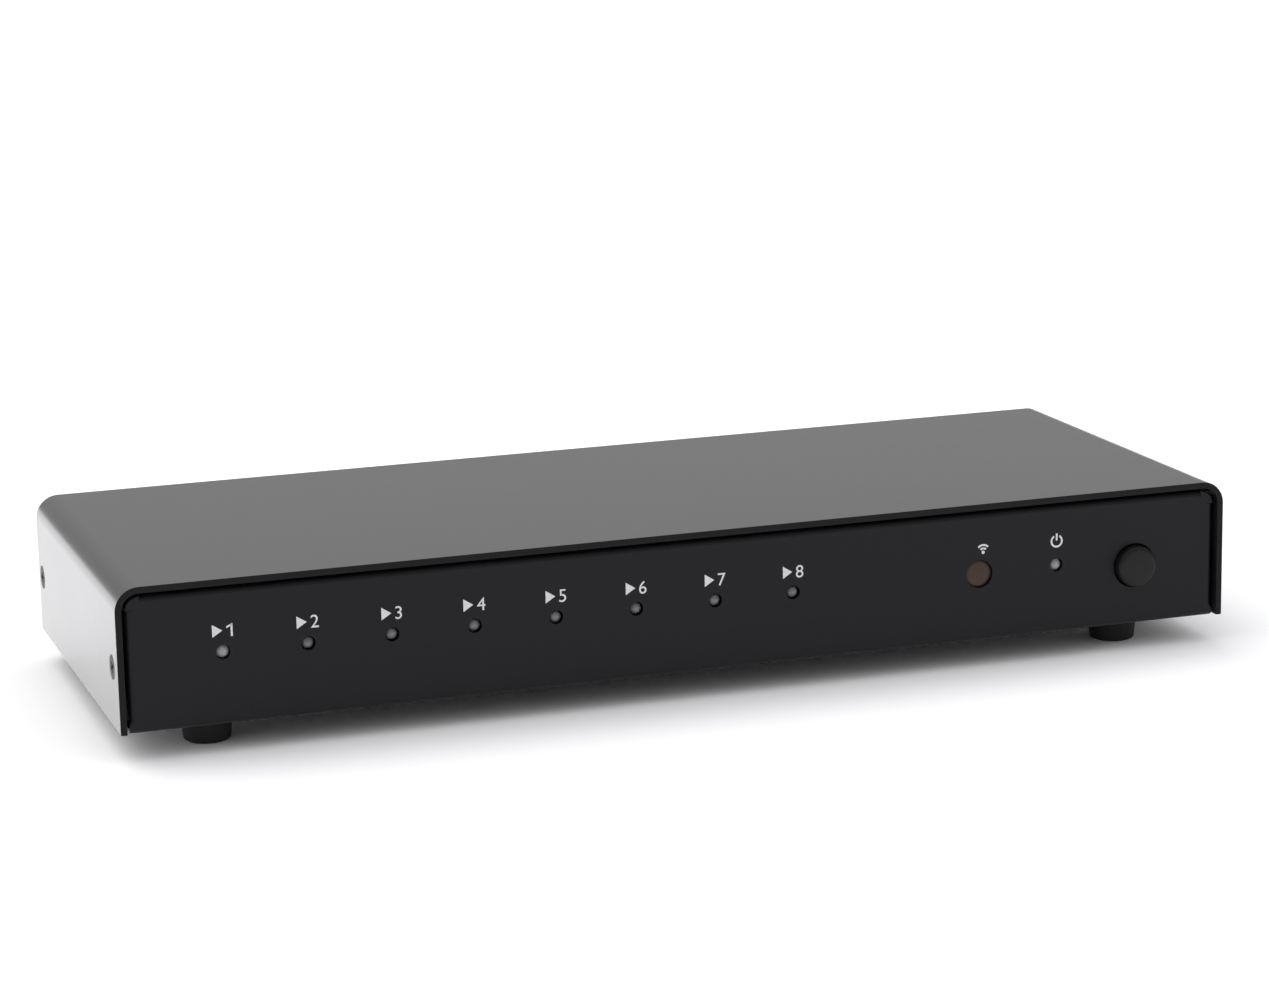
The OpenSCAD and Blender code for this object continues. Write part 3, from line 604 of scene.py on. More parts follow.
# a pale room, dimmer low down behind and in front, with a bright wall at each side
# that reflections hardly show
def makeLight(setup):
    world = bpy.data.worlds.new("studioWorld")
    bpy.context.scene.world = world
    world.use_nodes = True
    tree = world.node_tree
    towards = Wire(tree).node("ShaderNodeTexCoord", out="Generated")
    across = towards.axis("X")
    leftwards = across.maths("MAXIMUM", across * -1, 0)
    sky = towards.axis("Z").span(setup["skyFrom"], setup["skyTo"], setup["skyLow"], setup["skyHigh"])
    narrow = setup["sideNarrow"]
    walls = across.power(narrow) * setup["bothSides"] + leftwards.power(narrow) * setup["leftSide"]
    sky = sky + walls * shineOf(towards).span(0, 1, 1, setup["wallsShine"])
    tree.links.new(sky.socket, tree.nodes["Background"].inputs["Strength"])
    tree.nodes["Background"].inputs["Color"].default_value = setup["skyTint"]
    letGo()
    downwards = -Vector(setup["sunFrom"])
    bpy.ops.object.light_add(type="SUN", rotation=downwards.to_track_quat("-Z", "Y").to_euler())
    sun = bpy.context.object.data
    sun.energy = setup["sunPower"]
    sun.angle = math.radians(setup["sunAngle"])
    bpy.context.scene.view_settings.view_transform = "Standard"


makeCamera(cameraSetup)
makeFloor(studio)
makeLight(studio)
print("studio set up")


# case

flatScrew = {
    "headRadius": 2.8 * mm, "headDepth": 1.3 * mm, "shankRadius": 1.5 * mm, "length": 5.1 * mm,
    "crossLength": 3.2 * mm, "crossWidth": 1.0 * mm, "crossDepth": 1.0 * mm, "crossTaper": 0.6,
    "edge": 0.08 * mm, "tip": 0.3 * mm, "tipSteps": 2,
    "firstTurn": 0.4, "nextTurn": 0.7,  # radians, so that the crosses point various ways
}
screwLow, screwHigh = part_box("cover_screws")
screwPlaces = [
    (y, (screwLow.z + screwHigh.z) / 2)
    for y in (screwLow.y + flatScrew["headRadius"], screwHigh.y - flatScrew["headRadius"])
]
footNames = ["foot_front_left", "foot_rear_left", "foot_front_right", "foot_rear_right"]
inputCount = 8
socketNames = ["input_%d" % (i + 1) for i in range(inputCount)] + ["output"]
lampNames = ["input_lamp_%d" % (i + 1) for i in range(inputCount)] + ["power_lamp"]


def boxOf(node):
    low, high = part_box(node)
    return low, high, (low + high) / 2


def centreOf(node):
    return boxOf(node)[2]


# a copy of the model for each node
def spread(model, start, prefix, names, finish, ending=""):
    for name in names:
        node = name + ending
        piece = copyTo(model, prefix + name, Matrix.Translation(centreOf(node) - start))
        finishPiece(piece, finish, "case", [node])
    bpy.data.objects.remove(model)


# from the Z axis to a screw place on the side of the cover
def screwTurns():
    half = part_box("top_cover")[1].x
    for y, z in screwPlaces:
        for side in (-1, 1):
            yield Matrix.Translation((side * half, y, z)) @ Matrix.Rotation(side * math.pi / 2, 4, "Y")


coverLook = {
    "sheet": 1.5 * mm, "bend": 5.4 * mm, "bendSteps": 14, "hole": 1.7 * mm, "edge": 0.15 * mm,
    "sinkFoot": 1.6 * mm, "sinkMouth": 2.9 * mm, "sinkDepth": 1.3 * mm, "sinkPast": 0.5 * mm,
}


def makeSink(look):
    past = look["sinkPast"]
    depth = look["sinkDepth"]
    foot = look["sinkFoot"]
    sink = startRod("sink", (0, 0, (past - depth) / 2), foot, depth + past, "Z")
    pick(sink, "FACE", looksTo(axisZ, 1))
    grow = 1 + (look["sinkMouth"] / foot - 1) * (depth + past) / depth
    bpy.ops.transform.resize(value=(grow, grow, 1), center_override=(0, 0, past))
    letGo()
    weld(sink, [startRod("hole", (0, 0, -look["sheet"]), look["hole"], look["sheet"], "Z")])
    return sink


def makeCover(look):
    low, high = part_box("top_cover")
    piece = startBlock("coverShell", low, high)
    pick(piece, "EDGE", lambda e: runsAlong(e, axisY) and near(middle(e).z, high.z))
    bevelPicked(look["bend"], look["bendSteps"])
    pick(piece, "FACE", lambda f: abs(f.normal.y) > facing or f.normal.z < -facing)
    bpy.ops.mesh.delete(type="FACE")
    applyModifier(piece, "SOLIDIFY", thickness=look["sheet"], offset=-1, use_even_offset=True)
    sink = makeSink(look)
    cutAway(piece, [copyTo(sink, "sinkCut", turn) for turn in screwTurns()])
    bpy.data.objects.remove(sink)
    roundEdges(piece, look["edge"], steps=3)
    smooth(piece)
    finishPiece(piece, finishes["cover"], "case", ["top_cover"])


chassisLook = {
    "sheet": 1.0 * mm, "bend": 1.4 * mm, "bendSteps": 6, "corner": 3.2 * mm, "cornerSteps": 8,
    "lip": 8 * mm, "lipInset": 0.2 * mm, "flange": 10 * mm, "flangeFrom": 3 * mm,
    "slit": 0.1 * mm, "slitPast": 0.3 * mm,  # slits run a little past the bends
    "earEdge": 0.45 * mm, "earSteps": 4,
    "rimRadius": 2.55 * mm, "rimHeight": 1.5 * mm, "thread": 1.55 * mm,
    "lampHole": 1.65 * mm, "eyeHole": 3.35 * mm, "buttonHole": 5.4 * mm, "inletHole": 4.5 * mm,
    "socketWidth": 15.7 * mm, "socketHeight": 6.3 * mm, "socketCorner": 2.3 * mm,
    "socketGap": 0.35 * mm, "floorDrill": 8 * mm, "wallDrill": 4 * mm,
}
inletAxis = centreOf("inlet_pin")
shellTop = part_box("output_shell")[1].z


def foldTray(look):
    low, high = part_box("base_chassis")
    half = high.x
    lipHalf = half - look["corner"] - look["lipInset"] - look["slit"]
    reach = look["bend"] + look["slitPast"]
    flangeLow = low.z + look["flangeFrom"]
    flangeHigh = high.z - look["corner"] - look["slit"]
    lipEnd = high.y - look["lip"]
    flangeEnd = high.y - look["flange"]
    piece = startBlock("chassisTray", low, high)
    pick(piece, "EDGE", lambda e: runsAlong(e, axisY) and near(middle(e).z, high.z))
    bevelPicked(look["corner"], look["cornerSteps"])
    for side in (-1, 1):
        bisectAt(piece, axisX, [side * lipHalf, side * (lipHalf + look["slit"]), side * (half - reach)])
        bisectAt(piece, axisY, [side * lipEnd, side * flangeEnd])
    bisectAt(piece, axisZ, [flangeLow - look["slit"], flangeLow, flangeHigh, flangeHigh + look["slit"]])
    bisectAt(piece, axisZ, [high.z - reach])

    def isScrap(face):
        at = face.calc_center_median()
        across = abs(at.x)
        if face.normal.z < -facing:
            return False
        if abs(face.normal.y) > facing:
            lipSlit = lipHalf < across < lipHalf + look["slit"] and at.z > high.z - reach
            lower = flangeLow - look["slit"] < at.z < flangeLow
            upper = flangeHigh < at.z < flangeHigh + look["slit"]
            return lipSlit or (across > half - reach and (lower or upper))
        if abs(face.normal.x) > straight:
            return abs(at.y) < flangeEnd or not flangeLow < at.z < flangeHigh
        return across > lipHalf or abs(at.y) < lipEnd or face.normal.z < straight

    pick(piece, "FACE", isScrap)
    bpy.ops.mesh.delete(type="FACE")
    pick(piece, "EDGE", isFold)
    bevelPicked(look["bend"], look["bendSteps"])
    mergeMesh(piece)
    applyModifier(piece, "SOLIDIFY", thickness=look["sheet"], offset=-1, use_even_offset=True)

    # the flat ears left at the upper corners are rounded off towards the outside
    def isOnEar(vert):
        outX = abs(vert.co.x) - (half - look["corner"])
        outZ = vert.co.z - (high.z - look["corner"])
        onArc = near(math.hypot(outX, outZ), look["corner"]) and outX > 0 and outZ > 0
        return onArc and near(abs(vert.co.y), high.y)

    pick(piece, "EDGE", lambda e: all(isOnEar(vert) for vert in e.verts))
    bevelPicked(look["earEdge"], look["earSteps"])
    letGo()
    return piece


# a block with its two lower edges cut slantwise, as the sockets are
def socketBlock(name, low, high, corner):
    piece = startBlock(name, low, high)
    pick(piece, "EDGE", lambda e: runsAlong(e, axisY) and near(middle(e).z, low[axisZ]))
    bevelPicked(corner)
    letGo()
    return piece


def socketPlug(look, x, y):
    half = look["socketWidth"] / 2
    deep = look["wallDrill"] / 2
    top = shellTop + look["socketGap"]
    low = (x - half, y - deep, top - look["socketHeight"])
    return socketBlock("socketPlug", low, (x + half, y + deep, top), look["socketCorner"])


def makeChassis(look):
    piece = foldTray(look)
    low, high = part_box("base_chassis")
    rimLength = look["rimHeight"] + look["sheet"] / 2
    rims = []
    drills = []
    for name in footNames:
        foot = centreOf(name)
        rimMiddle = low.z + look["sheet"] / 2 + rimLength / 2
        rimPlace = (foot.x, foot.y, rimMiddle)
        rims.append(startRod("rim", rimPlace, look["rimRadius"], rimLength, "Z", sides=32))
        footTop = (foot.x, foot.y, low.z)
        drills.append(startRod("drill", footTop, look["thread"], look["floorDrill"], "Z", sides=32))
    for y, z in screwPlaces:
        for side in (-1, 1):
            rimX = side * (high.x - look["sheet"] / 2 - rimLength / 2)
            rims.append(startRod("rim", (rimX, y, z), look["rimRadius"], rimLength, "X", sides=32))
        drillLength = 2 * (high.x + beyond)
        drills.append(startRod("drill", (0, y, z), look["thread"], drillLength, "X", sides=32))
    weld(piece, rims)
    frontHoles = [(centreOf(name), look["lampHole"], 32) for name in lampNames]
    frontHoles.append((centreOf("infrared_window"), look["eyeHole"], 48))
    frontHoles.append((centreOf("button_cap"), look["buttonHole"], 64))
    for at, radius, sides in frontHoles:
        drills.append(startRod("drill", (at.x, low.y, at.z), radius, look["wallDrill"], "Y", sides))
    mouth = (inletAxis.x, high.y, inletAxis.z)
    drills.append(startRod("drill", mouth, look["inletHole"], look["wallDrill"], "Y"))
    for name in socketNames:
        drills.append(socketPlug(look, centreOf(name + "_shell").x, high.y))
    cutAway(piece, drills)
    smooth(piece)
    finishPiece(piece, finishes["chassis"], "case", ["base_chassis"])


def cutCross(piece, look, top):
    foot = top - look["crossDepth"]
    taper = look["crossTaper"]
    sizes = (look["crossLength"], look["crossWidth"])
    for long, wide in (sizes, sizes[::-1]):
        arm = startBlock("arm", (-long / 2, -wide / 2, foot), (long / 2, wide / 2, top + beyond))
        pick(arm, "FACE", looksTo(axisZ, -1))
        bpy.ops.transform.resize(value=(taper, taper, 1), center_override=(0, 0, foot))
        cutAway(piece, [arm])
    roundEdges(piece, look["edge"], angle=50)
    smooth(piece)


roundScrew = {
    "headRadius": 2.7 * mm, "headHeight": 1.8 * mm, "dome": 1.45 * mm, "domeSteps": 8,
    "shankRadius": 1.5 * mm, "shank": 6.9 * mm, "overlap": 0.3 * mm, "tip": 0.3 * mm, "tipSteps": 2,
    "crossLength": 2.8 * mm, "crossWidth": 0.8 * mm, "crossDepth": 1.0 * mm, "crossTaper": 0.6,
    "edge": 0.06 * mm,
}


def makeFootScrews(look):
    height = look["headHeight"]
    model = startRod("roundScrew", (0, 0, height / 2), look["headRadius"], height, "Z", sides=40)
    pick(model, "EDGE", liesAt(axisZ, height))
    bevelPicked(look["dome"], look["domeSteps"])
    overlap = look["overlap"]
    length = look["shank"] + overlap
    shank = startRod("shank", (0, 0, overlap - length / 2), look["shankRadius"], length, "Z", sides=32)
    pick(shank, "EDGE", liesAt(axisZ, -look["shank"]))
    bevelPicked(look["tip"], look["tipSteps"])
    weld(model, [shank])
    cutCross(model, look, height)
    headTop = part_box("foot_screws")[0].z + height
    upsideDown = Matrix.Rotation(math.pi, 4, "X")
    feet = [centreOf(name) for name in footNames]
    places = [Matrix.Translation((foot.x, foot.y, headTop)) @ upsideDown for foot in feet]
    piece = joinCopies(model, "footScrews", places)
    finishPiece(piece, finishes["screwZinc"], "case", ["foot_screws"])


def makeCoverScrews(look):
    head = look["headDepth"]
    length = look["length"] - head
    middleZ = -head - length / 2
    model = startRod("flatScrew", (0, 0, middleZ), look["shankRadius"], length, "Z")
    pick(model, "EDGE", liesAt(axisZ, -look["length"]))
    bevelPicked(look["tip"], look["tipSteps"])
    pick(model, "FACE", looksTo(axisZ, 1))
    bpy.ops.mesh.extrude_region_move(TRANSFORM_OT_translate={"value": (0, 0, head)})
    grow = look["headRadius"] / look["shankRadius"]
    bpy.ops.transform.resize(value=(grow, grow, 1), center_override=(0, 0, 0))
    letGo()
    cutCross(model, look, 0)
    places = []
    for i, turn in enumerate(screwTurns()):
        places.append(turn @ Matrix.Rotation(look["firstTurn"] + look["nextTurn"] * i, 4, "Z"))
    piece = joinCopies(model, "coverScrews", places)
    finishPiece(piece, finishes["screwBlack"], "case", ["cover_screws"])


footLook = {
    "tip": 10.6 / 12, "edge": 0.7 * mm, "edgeSteps": 4, "collar": 0.35 * mm, "collarSteps": 3,
    "pocket": 2.9 * mm, "pocketDepth": 2.6 * mm, "hole": 1.7 * mm, "rim": 0.15 * mm,
}


def makeFeet(look):
    low, high, centre = boxOf(footNames[0])
    radius = (high.x - low.x) / 2
    height = high.z - low.z
    model = startRod("rubberFoot", centre, radius, height, "Z", sides=64)
    ground = (centre.x, centre.y, low.z)
    pick(model, "FACE", looksTo(axisZ, -1))
    bpy.ops.transform.resize(value=(look["tip"], look["tip"], 1), center_override=ground)
    pick(model, "EDGE", liesAt(axisZ, low.z))
    bevelPicked(look["edge"], look["edgeSteps"])
    pick(model, "EDGE", liesAt(axisZ, high.z))
    bevelPicked(look["collar"], look["collarSteps"])
    letGo()
    cutAway(model, [startRod("pocket", ground, look["pocket"], 2 * look["pocketDepth"], "Z")])
    cutAway(model, [startRod("hole", centre, look["hole"], height + 2 * beyond, "Z", sides=32)])
    roundEdges(model, look["rim"], angle=60)
    smooth(model)
    spread(model, centre, "rubber_", footNames, finishes["footRubber"])


makeCover(coverLook)
makeChassis(chassisLook)
makeCoverScrews(flatScrew)
makeFootScrews(roundScrew)
makeFeet(footLook)
print("case made")


# front panel

discSides = 40  # a face with more sides is the round end of a rod
middleShare = 0.6  # radius of the disc left in the middle, in rings


def isFrontDisc(face):
    return face.normal.y < -facing and len(face.verts) > discSides


# rings of faces inside the picked disc
def insetRings(flat, rings):
    for ring in range(rings):
        bpy.ops.mesh.inset(thickness=flat / (rings + middleShare))


buttonLook = {
    "edge": 1.1 * mm, "edgeSteps": 8, "dome": 0.16 * mm, "domeReach": 0.9, "rings": 5,
    "stemHole": 1.55 * mm, "stemDepth": 3.6 * mm,
}


def makeButton(look):
    low, high, centre = boxOf("button_cap")
    radius = (high.x - low.x) / 2
    piece = startRod("buttonCap", centre, radius, high.y - low.y, "Y", sides=72)
    pick(piece, "EDGE", liesAt(axisY, low.y))
    bevelPicked(look["edge"], look["edgeSteps"])
    pick(piece, "FACE", isFrontDisc)
    flat = radius - look["edge"]
    insetRings(flat, look["rings"])
    letGo()
    # the front swells a little, most at its middle
    for vert in piece.data.vertices:
        away = math.hypot(vert.co.x - centre.x, vert.co.z - centre.z) / flat
        if vert.co.y < low.y + look["domeReach"] * look["edge"]:
            vert.co.y += look["dome"] * min(1, away * away)
    hole = look["stemHole"]
    stemLow = (centre.x - hole, high.y - look["stemDepth"], centre.z - hole)
    cutAway(piece, [startBlock("stem", stemLow, (centre.x + hole, high.y + beyond, centre.z + hole))])
    smooth(piece, angle=30)
    finishPiece(piece, finishes["buttonBlack"], "button", ["button_cap"])


lampLook = {
    "radius": 1.5 * mm, "dome": 1.35 * mm, "domeSteps": 8, "collar": 1.0 * mm, "edge": 0.1 * mm,
    "lit": ("input_lamp_1", "power_lamp"),
}


def makeLamps(look):
    low, high, centre = boxOf(lampNames[0])
    model = startRod("lampLens", centre, look["radius"], high.y - low.y, "Y", sides=40)
    pick(model, "EDGE", liesAt(axisY, low.y))
    bevelPicked(look["dome"], look["domeSteps"])
    letGo()
    collarMiddle = (centre.x, high.y - look["collar"] / 2, centre.z)
    collar = startRod("collar", collarMiddle, (high.x - low.x) / 2, look["collar"], "Y", sides=40)
    weld(model, [collar])
    roundEdges(model, look["edge"], angle=50)
    smooth(model)
    for name in lampNames:
        piece = copyTo(model, "lens_" + name, Matrix.Translation(centreOf(name) - centre))
        finish = finishes["lampLit" if name in look["lit"] else "lampLens"]
        finishPiece(piece, finish, "case", [name])
    bpy.data.objects.remove(model)


windowLook = {
    "hole": 3.35 * mm, "gap": 0.15 * mm, "step": 0.35 * mm, "crown": 0.2 * mm, "rings": 4,
    "edge": 0.12 * mm,
}


def makeWindow(look):
    low, high, centre = boxOf("infrared_window")
    radius = (high.x - low.x) / 2
    piece = startRod("infraredWindow", centre, radius, high.y - low.y, "Y", sides=64)
    pick(piece, "FACE", isFrontDisc)
    bpy.ops.mesh.inset(thickness=radius - look["hole"] + look["gap"])
    bpy.ops.mesh.extrude_region_move(TRANSFORM_OT_translate={"value": (0, -look["step"], 0)})
    face = low.y - look["step"]
    flat = look["hole"] - look["gap"]
    insetRings(flat, look["rings"])
    letGo()
    for vert in piece.data.vertices:
        away = math.hypot(vert.co.x - centre.x, vert.co.z - centre.z) / flat
        if near(vert.co.y, face) and away < 1:
            vert.co.y -= look["crown"] * (1 - away * away)
    roundEdges(piece, look["edge"], angle=50)
    smooth(piece, angle=30)
    finishPiece(piece, finishes["windowRed"], "case", ["infrared_window"])


springLook = {"wire": 0.5 * mm, "wireSides": 12, "turns": 4, "turnSteps": 32, "joint": "button_press"}


# the return spring behind the button; the share it would shorten to as the button goes in is worked out
# but not applied
def makeSpring(look):
    low, high, centre = boxOf("switch_spring")
    length = high.y - low.y
    wireRadius = look["wire"] / 2
    coilRadius = (high.x - low.x) / 2 - wireRadius
    letGo()
    bpy.ops.mesh.primitive_circle_add(
        vertices=look["wireSides"], radius=wireRadius, location=(coilRadius, 0, wireRadius),
        rotation=rodTurns["Y"],
    )
    piece = bpy.context.object
    piece.name = "returnSpring"
    bpy.ops.object.transform_apply(location=True, rotation=True, scale=True)
    applyModifier(
        piece, "SCREW", axis="Z", angle=2 * math.pi, iterations=look["turns"],
        screw_offset=(length - look["wire"]) / look["turns"],
        steps=look["turnSteps"], render_steps=look["turnSteps"],
    )
    edit(piece, "VERT")
    bpy.ops.mesh.select_all(action="SELECT")
    bpy.ops.mesh.remove_doubles(threshold=hair)
    bpy.ops.mesh.fill_holes(sides=0)
    bpy.ops.mesh.normals_make_consistent(inside=False)
    letGo()
    lyingDown = Matrix.Rotation(-math.pi / 2, 4, "X")
    piece.data.transform(Matrix.Translation((centre.x, low.y, centre.z)) @ lyingDown)
    smooth(piece)
    finishPiece(piece, finishes["springSteel"], "case", ["switch_spring"])
    joint = next(joint for joint in frame["joints"] if joint["name"] == look["joint"])
    shortened = 1 - max(joint["range_m"]) / length
    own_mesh(piece)


makeButton(buttonLook)
makeLamps(lampLook)
makeWindow(windowLook)
makeSpring(springLook)
print("front controls made")


# rear sockets

shellLook = {
    "height": 5.6 * mm, "corner": 2.1 * mm, "fold": 0.45 * mm, "foldSteps": 3, "sheet": 0.4 * mm,
    "flare": 0.22 * mm, "flareFrom": 0.7 * mm, "fingerFrom": 3.0 * mm, "fingerLength": 5.0 * mm,
    "fingerWidth": 1.8 * mm, "fingerPitch": 6.0 * mm, "fingerDip": 0.3 * mm, "fingerSlack": 0.01 * mm,
    "slit": 0.5 * mm, "slitOverlap": 0.1 * mm, "edge": 0.06 * mm,
    "legWidth": 1.6 * mm, "legUp": 0.5 * mm, "legPlaces": (5.0 * mm, 10.0 * mm),
}


def makeShells(look):
    low, high, centre = boxOf("input_1_shell")
    floorZ = high.z - look["height"]
    model = socketBlock("socketShell", (low.x, low.y, floorZ), high, look["corner"])
    pick(model, "EDGE", lambda e: runsAlong(e, axisY))
    bevelPicked(look["fold"], look["foldSteps"])
    bisectAt(model, axisY, [high.y - look["flareFrom"]])
    pick(model, "FACE", looksTo(axisY, 1))
    bpy.ops.mesh.delete(type="FACE")
    pick(model, "VERT", lambda v: near(v.co.y, high.y))
    grow = (1 + 2 * look["flare"] / (high.x - low.x), 1, 1 + 2 * look["flare"] / look["height"])
    mouth = (centre.x, high.y, high.z - look["height"] / 2)
    bpy.ops.transform.resize(value=grow, center_override=mouth)
    letGo()
    applyModifier(model, "SOLIDIFY", thickness=look["sheet"], offset=-1, use_even_offset=True)
    slits = []
    tip = high.y - look["fingerFrom"]
    root = tip - look["fingerLength"]
    halfWidth = look["fingerWidth"] / 2
    acrossHalf = halfWidth + look["slitOverlap"]
    under = high.z - beyond
    over = high.z + beyond
    for side in (-1, 1):
        x = centre.x + side * look["fingerPitch"] / 2
        for edge in (-1, 1):
            slitX = x + edge * (halfWidth + look["slit"] / 2)
            slitLow = (slitX - look["slit"] / 2, root, under)
            slits.append(startBlock("slit", slitLow, (slitX + look["slit"] / 2, tip, over)))
        acrossLow = (x - acrossHalf, tip - look["slit"], under)
        slits.append(startBlock("slit", acrossLow, (x + acrossHalf, tip, over)))
    for slit in slits:
        cutAway(model, [slit])

    def isFingerTip(vert):
        across = abs(abs(vert.co.x - centre.x) - look["fingerPitch"] / 2)
        return across < halfWidth + look["fingerSlack"] and near(vert.co.y, tip - look["slit"])

    pick(model, "VERT", isFingerTip)
    bpy.ops.transform.translate(value=(0, 0, -look["fingerDip"]))
    letGo()
    legs = []
    thin = look["sheet"] / 2
    wide = look["legWidth"] / 2
    legTop = floorZ + look["corner"] + look["legUp"]
    for side in (-1, 1):
        legX = centre.x + side * ((high.x - low.x) / 2 - thin)
        for back in look["legPlaces"]:
            legY = high.y - back
            legLow = (legX - thin, legY - wide, low.z)
            legs.append(startBlock("leg", legLow, (legX + thin, legY + wide, legTop)))
    weld(model, legs)
    roundEdges(model, look["edge"], angle=50)
    smooth(model)
    spread(model, centre, "shell_", socketNames, finishes["shellSteel"], "_shell")


tongueLook = {
    "width": 11.4 * mm, "thick": 1.7 * mm, "block": 3.4 * mm, "corner": 1.83 * mm,
    "tipEdge": 0.3 * mm, "tipSteps": 3, "edge": 0.08 * mm,
}


def makeTongues(look):
    low, high, centre = boxOf("input_1_tongue")
    model = socketBlock("socketTongue", low, (high.x, low.y + look["block"], high.z), look["corner"])
    half = look["width"] / 2
    plateLow = (centre.x - half, low.y + look["block"] / 2, centre.z - look["thick"] / 2)
    plate = startBlock("plate", plateLow, (centre.x + half, high.y, centre.z + look["thick"] / 2))
    pick(plate, "EDGE", liesAt(axisY, high.y))
    bevelPicked(look["tipEdge"], look["tipSteps"])
    weld(model, [plate])
    roundEdges(model, look["edge"], angle=50)
    smooth(model)
    spread(model, centre, "tongue_", socketNames, finishes["tongueBlack"], "_tongue")


contactLook = {
    "width": 0.5 * mm, "thick": 0.15 * mm, "pitch": 1.0 * mm, "upper": 10, "tipEdge": 0.05 * mm,
}


def contactRow(look, count, centre, back, front, bottom):
    first = centre - (count - 1) / 2 * look["pitch"]
    half = look["width"] / 2
    top = bottom + look["thick"]
    row = startBlock("row", (first - half, back, bottom), (first + half, front, top))
    pick(row, "EDGE", lambda e: runsAlong(e, axisX) and near(middle(e).y, front))
    bevelPicked(look["tipEdge"])
    letGo()
    applyModifier(
        row, "ARRAY", count=count, use_relative_offset=False, use_constant_offset=True,
        constant_offset_displace=(look["pitch"], 0, 0),
    )
    return row


def makeContacts(look):
    low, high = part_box("socket_contacts")
    tongueMiddle = centreOf("input_1_tongue").x
    upper = contactRow(look, look["upper"], tongueMiddle, low.y, high.y, high.z - look["thick"])
    lower = contactRow(look, look["upper"] - 1, tongueMiddle, low.y, high.y, low.z)
    tongues = [centreOf(name + "_tongue").x for name in socketNames]
    places = [Matrix.Translation((x - tongueMiddle, 0, 0)) for x in tongues]
    piece = joinCopies(joinUp([upper, lower]), "socketContacts", places)
    finishPiece(piece, finishes["contactGold"], "case", ["socket_contacts"])


inletLook = {
    "nose": 4.2 * mm, "noseOut": 1.4 * mm, "noseEdge": 0.35 * mm, "noseSteps": 3,
    "barrel": 3.2 * mm, "barrelDepth": 9.5 * mm, "bodyEdge": 0.3 * mm, "edge": 0.08 * mm,
    "pinHole": 1.08 * mm, "pinRoot": 2.0 * mm, "rootOverlap": 0.5 * mm, "sleeveUp": 2 * mm,
}


def inletRod(name, y, radius, length, sides):
    return startRod(name, (inletAxis.x, y, inletAxis.z), radius, length, "Y", sides)


def makeInlet(look):
    low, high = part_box("inlet_body")
    piece = startBlock("inletBody", low, (high.x, high.y - look["noseOut"], high.z))
    roundEdges(piece, look["bodyEdge"])
    noseLength = look["noseOut"] + beyond
    nose = inletRod("nose", high.y - noseLength / 2, look["nose"], noseLength, sides=56)
    pick(nose, "EDGE", liesAt(axisY, high.y))
    bevelPicked(look["noseEdge"], look["noseSteps"])
    weld(piece, [nose])
    depth = look["barrelDepth"]
    cutAway(piece, [inletRod("barrel", high.y, look["barrel"], 2 * depth, sides=56)])
    rootMiddle = high.y - depth - look["pinRoot"] / 2 + look["rootOverlap"] / 2
    rootLength = look["pinRoot"] + look["rootOverlap"]
    cutAway(piece, [inletRod("root", rootMiddle, look["pinHole"], rootLength, sides=32)])
    sleeveLow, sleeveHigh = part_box("inlet_sleeve_contact")
    sleeveHigh = sleeveHigh + Vector((0, 0, look["sleeveUp"]))
    cutAway(piece, [startBlock("sleeve", sleeveLow, sleeveHigh)])
    roundEdges(piece, look["edge"], angle=60)
    smooth(piece)
    finishPiece(piece, finishes["inletBlack"], "case", ["inlet_body"])


pinLook = {"tipShare": 0.6, "tipSteps": 4}


def makePin(look):
    low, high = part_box("inlet_pin")
    radius = (high.x - low.x) / 2
    piece = startRod("inletPin", (low + high) / 2, radius, high.y - low.y, "Y", sides=32)
    pick(piece, "EDGE", liesAt(axisY, high.y))
    bevelPicked(radius * look["tipShare"], look["tipSteps"])
    letGo()
    smooth(piece)
    finishPiece(piece, finishes["pinNickel"], "case", ["inlet_pin"])


makeShells(shellLook)
makeTongues(tongueLook)
makeContacts(contactLook)
makeInlet(inletLook)
makePin(pinLook)
print("rear sockets made")


# marks printed on the front panel

markLook = {
    "thick": 0.03 * mm, "high": 2.9 * mm, "stroke": 0.45 * mm, "gap": 0.9 * mm, "raise": 4.9 * mm,
    "arrow": 2.3 * mm, "flag": 0.95 * mm, "flagDrop": 0.6 * mm,
    "ring": 1.35 * mm, "ringTurn": (122, 418), "powerRaise": 5.8 * mm,
    "stemFrom": 0.1, "stemTo": 1.35,  # in radii of the ring
    "arcs": (0.95 * mm, 1.75 * mm), "arcTurn": (45, 135), "dot": 0.4 * mm, "dotTurn": (0, 360),
    "eyeRaise": 5.2 * mm, "eyeShift": 0.9 * mm,
}
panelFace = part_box("base_chassis")[0].y


# flat marks are drawn on the ground, then stood up on the panel
def standUp(piece, x, z):
    piece.data.transform(Matrix.Translation((x, panelFace, z)) @ Matrix.Rotation(math.pi / 2, 4, "X"))


def flatBar(low, high):
    letGo()
    bpy.ops.mesh.primitive_plane_add(size=1)
    piece = bpy.context.object
    piece.scale = (high[0] - low[0], high[1] - low[1], 1)
    piece.location = ((low[0] + high[0]) / 2, (low[1] + high[1]) / 2, 0)
    bpy.ops.object.transform_apply(location=True, rotation=True, scale=True)
    return piece


def flatRing(radius, stroke, start, end):
    letGo()
    bpy.ops.mesh.primitive_circle_add(vertices=72, radius=radius + stroke / 2, fill_type="NGON")
    piece = bpy.context.object
    pick(piece, "FACE", lambda f: True)
    bpy.ops.mesh.inset(thickness=stroke)
    bpy.ops.mesh.delete(type="FACE")

    def isOpen(face):
        at = face.calc_center_median()
        return (math.degrees(math.atan2(at.y, at.x)) - start) % 360 > end - start

    pick(piece, "FACE", isOpen)
    bpy.ops.mesh.delete(type="FACE")
    letGo()
    return piece


def flatHead(length, half):
    piece = flatBar((0, -half), (length, half))
    pick(piece, "VERT", lambda v: near(v.co.x, length))
    bpy.ops.mesh.merge(type="CENTER")
    letGo()
    return piece


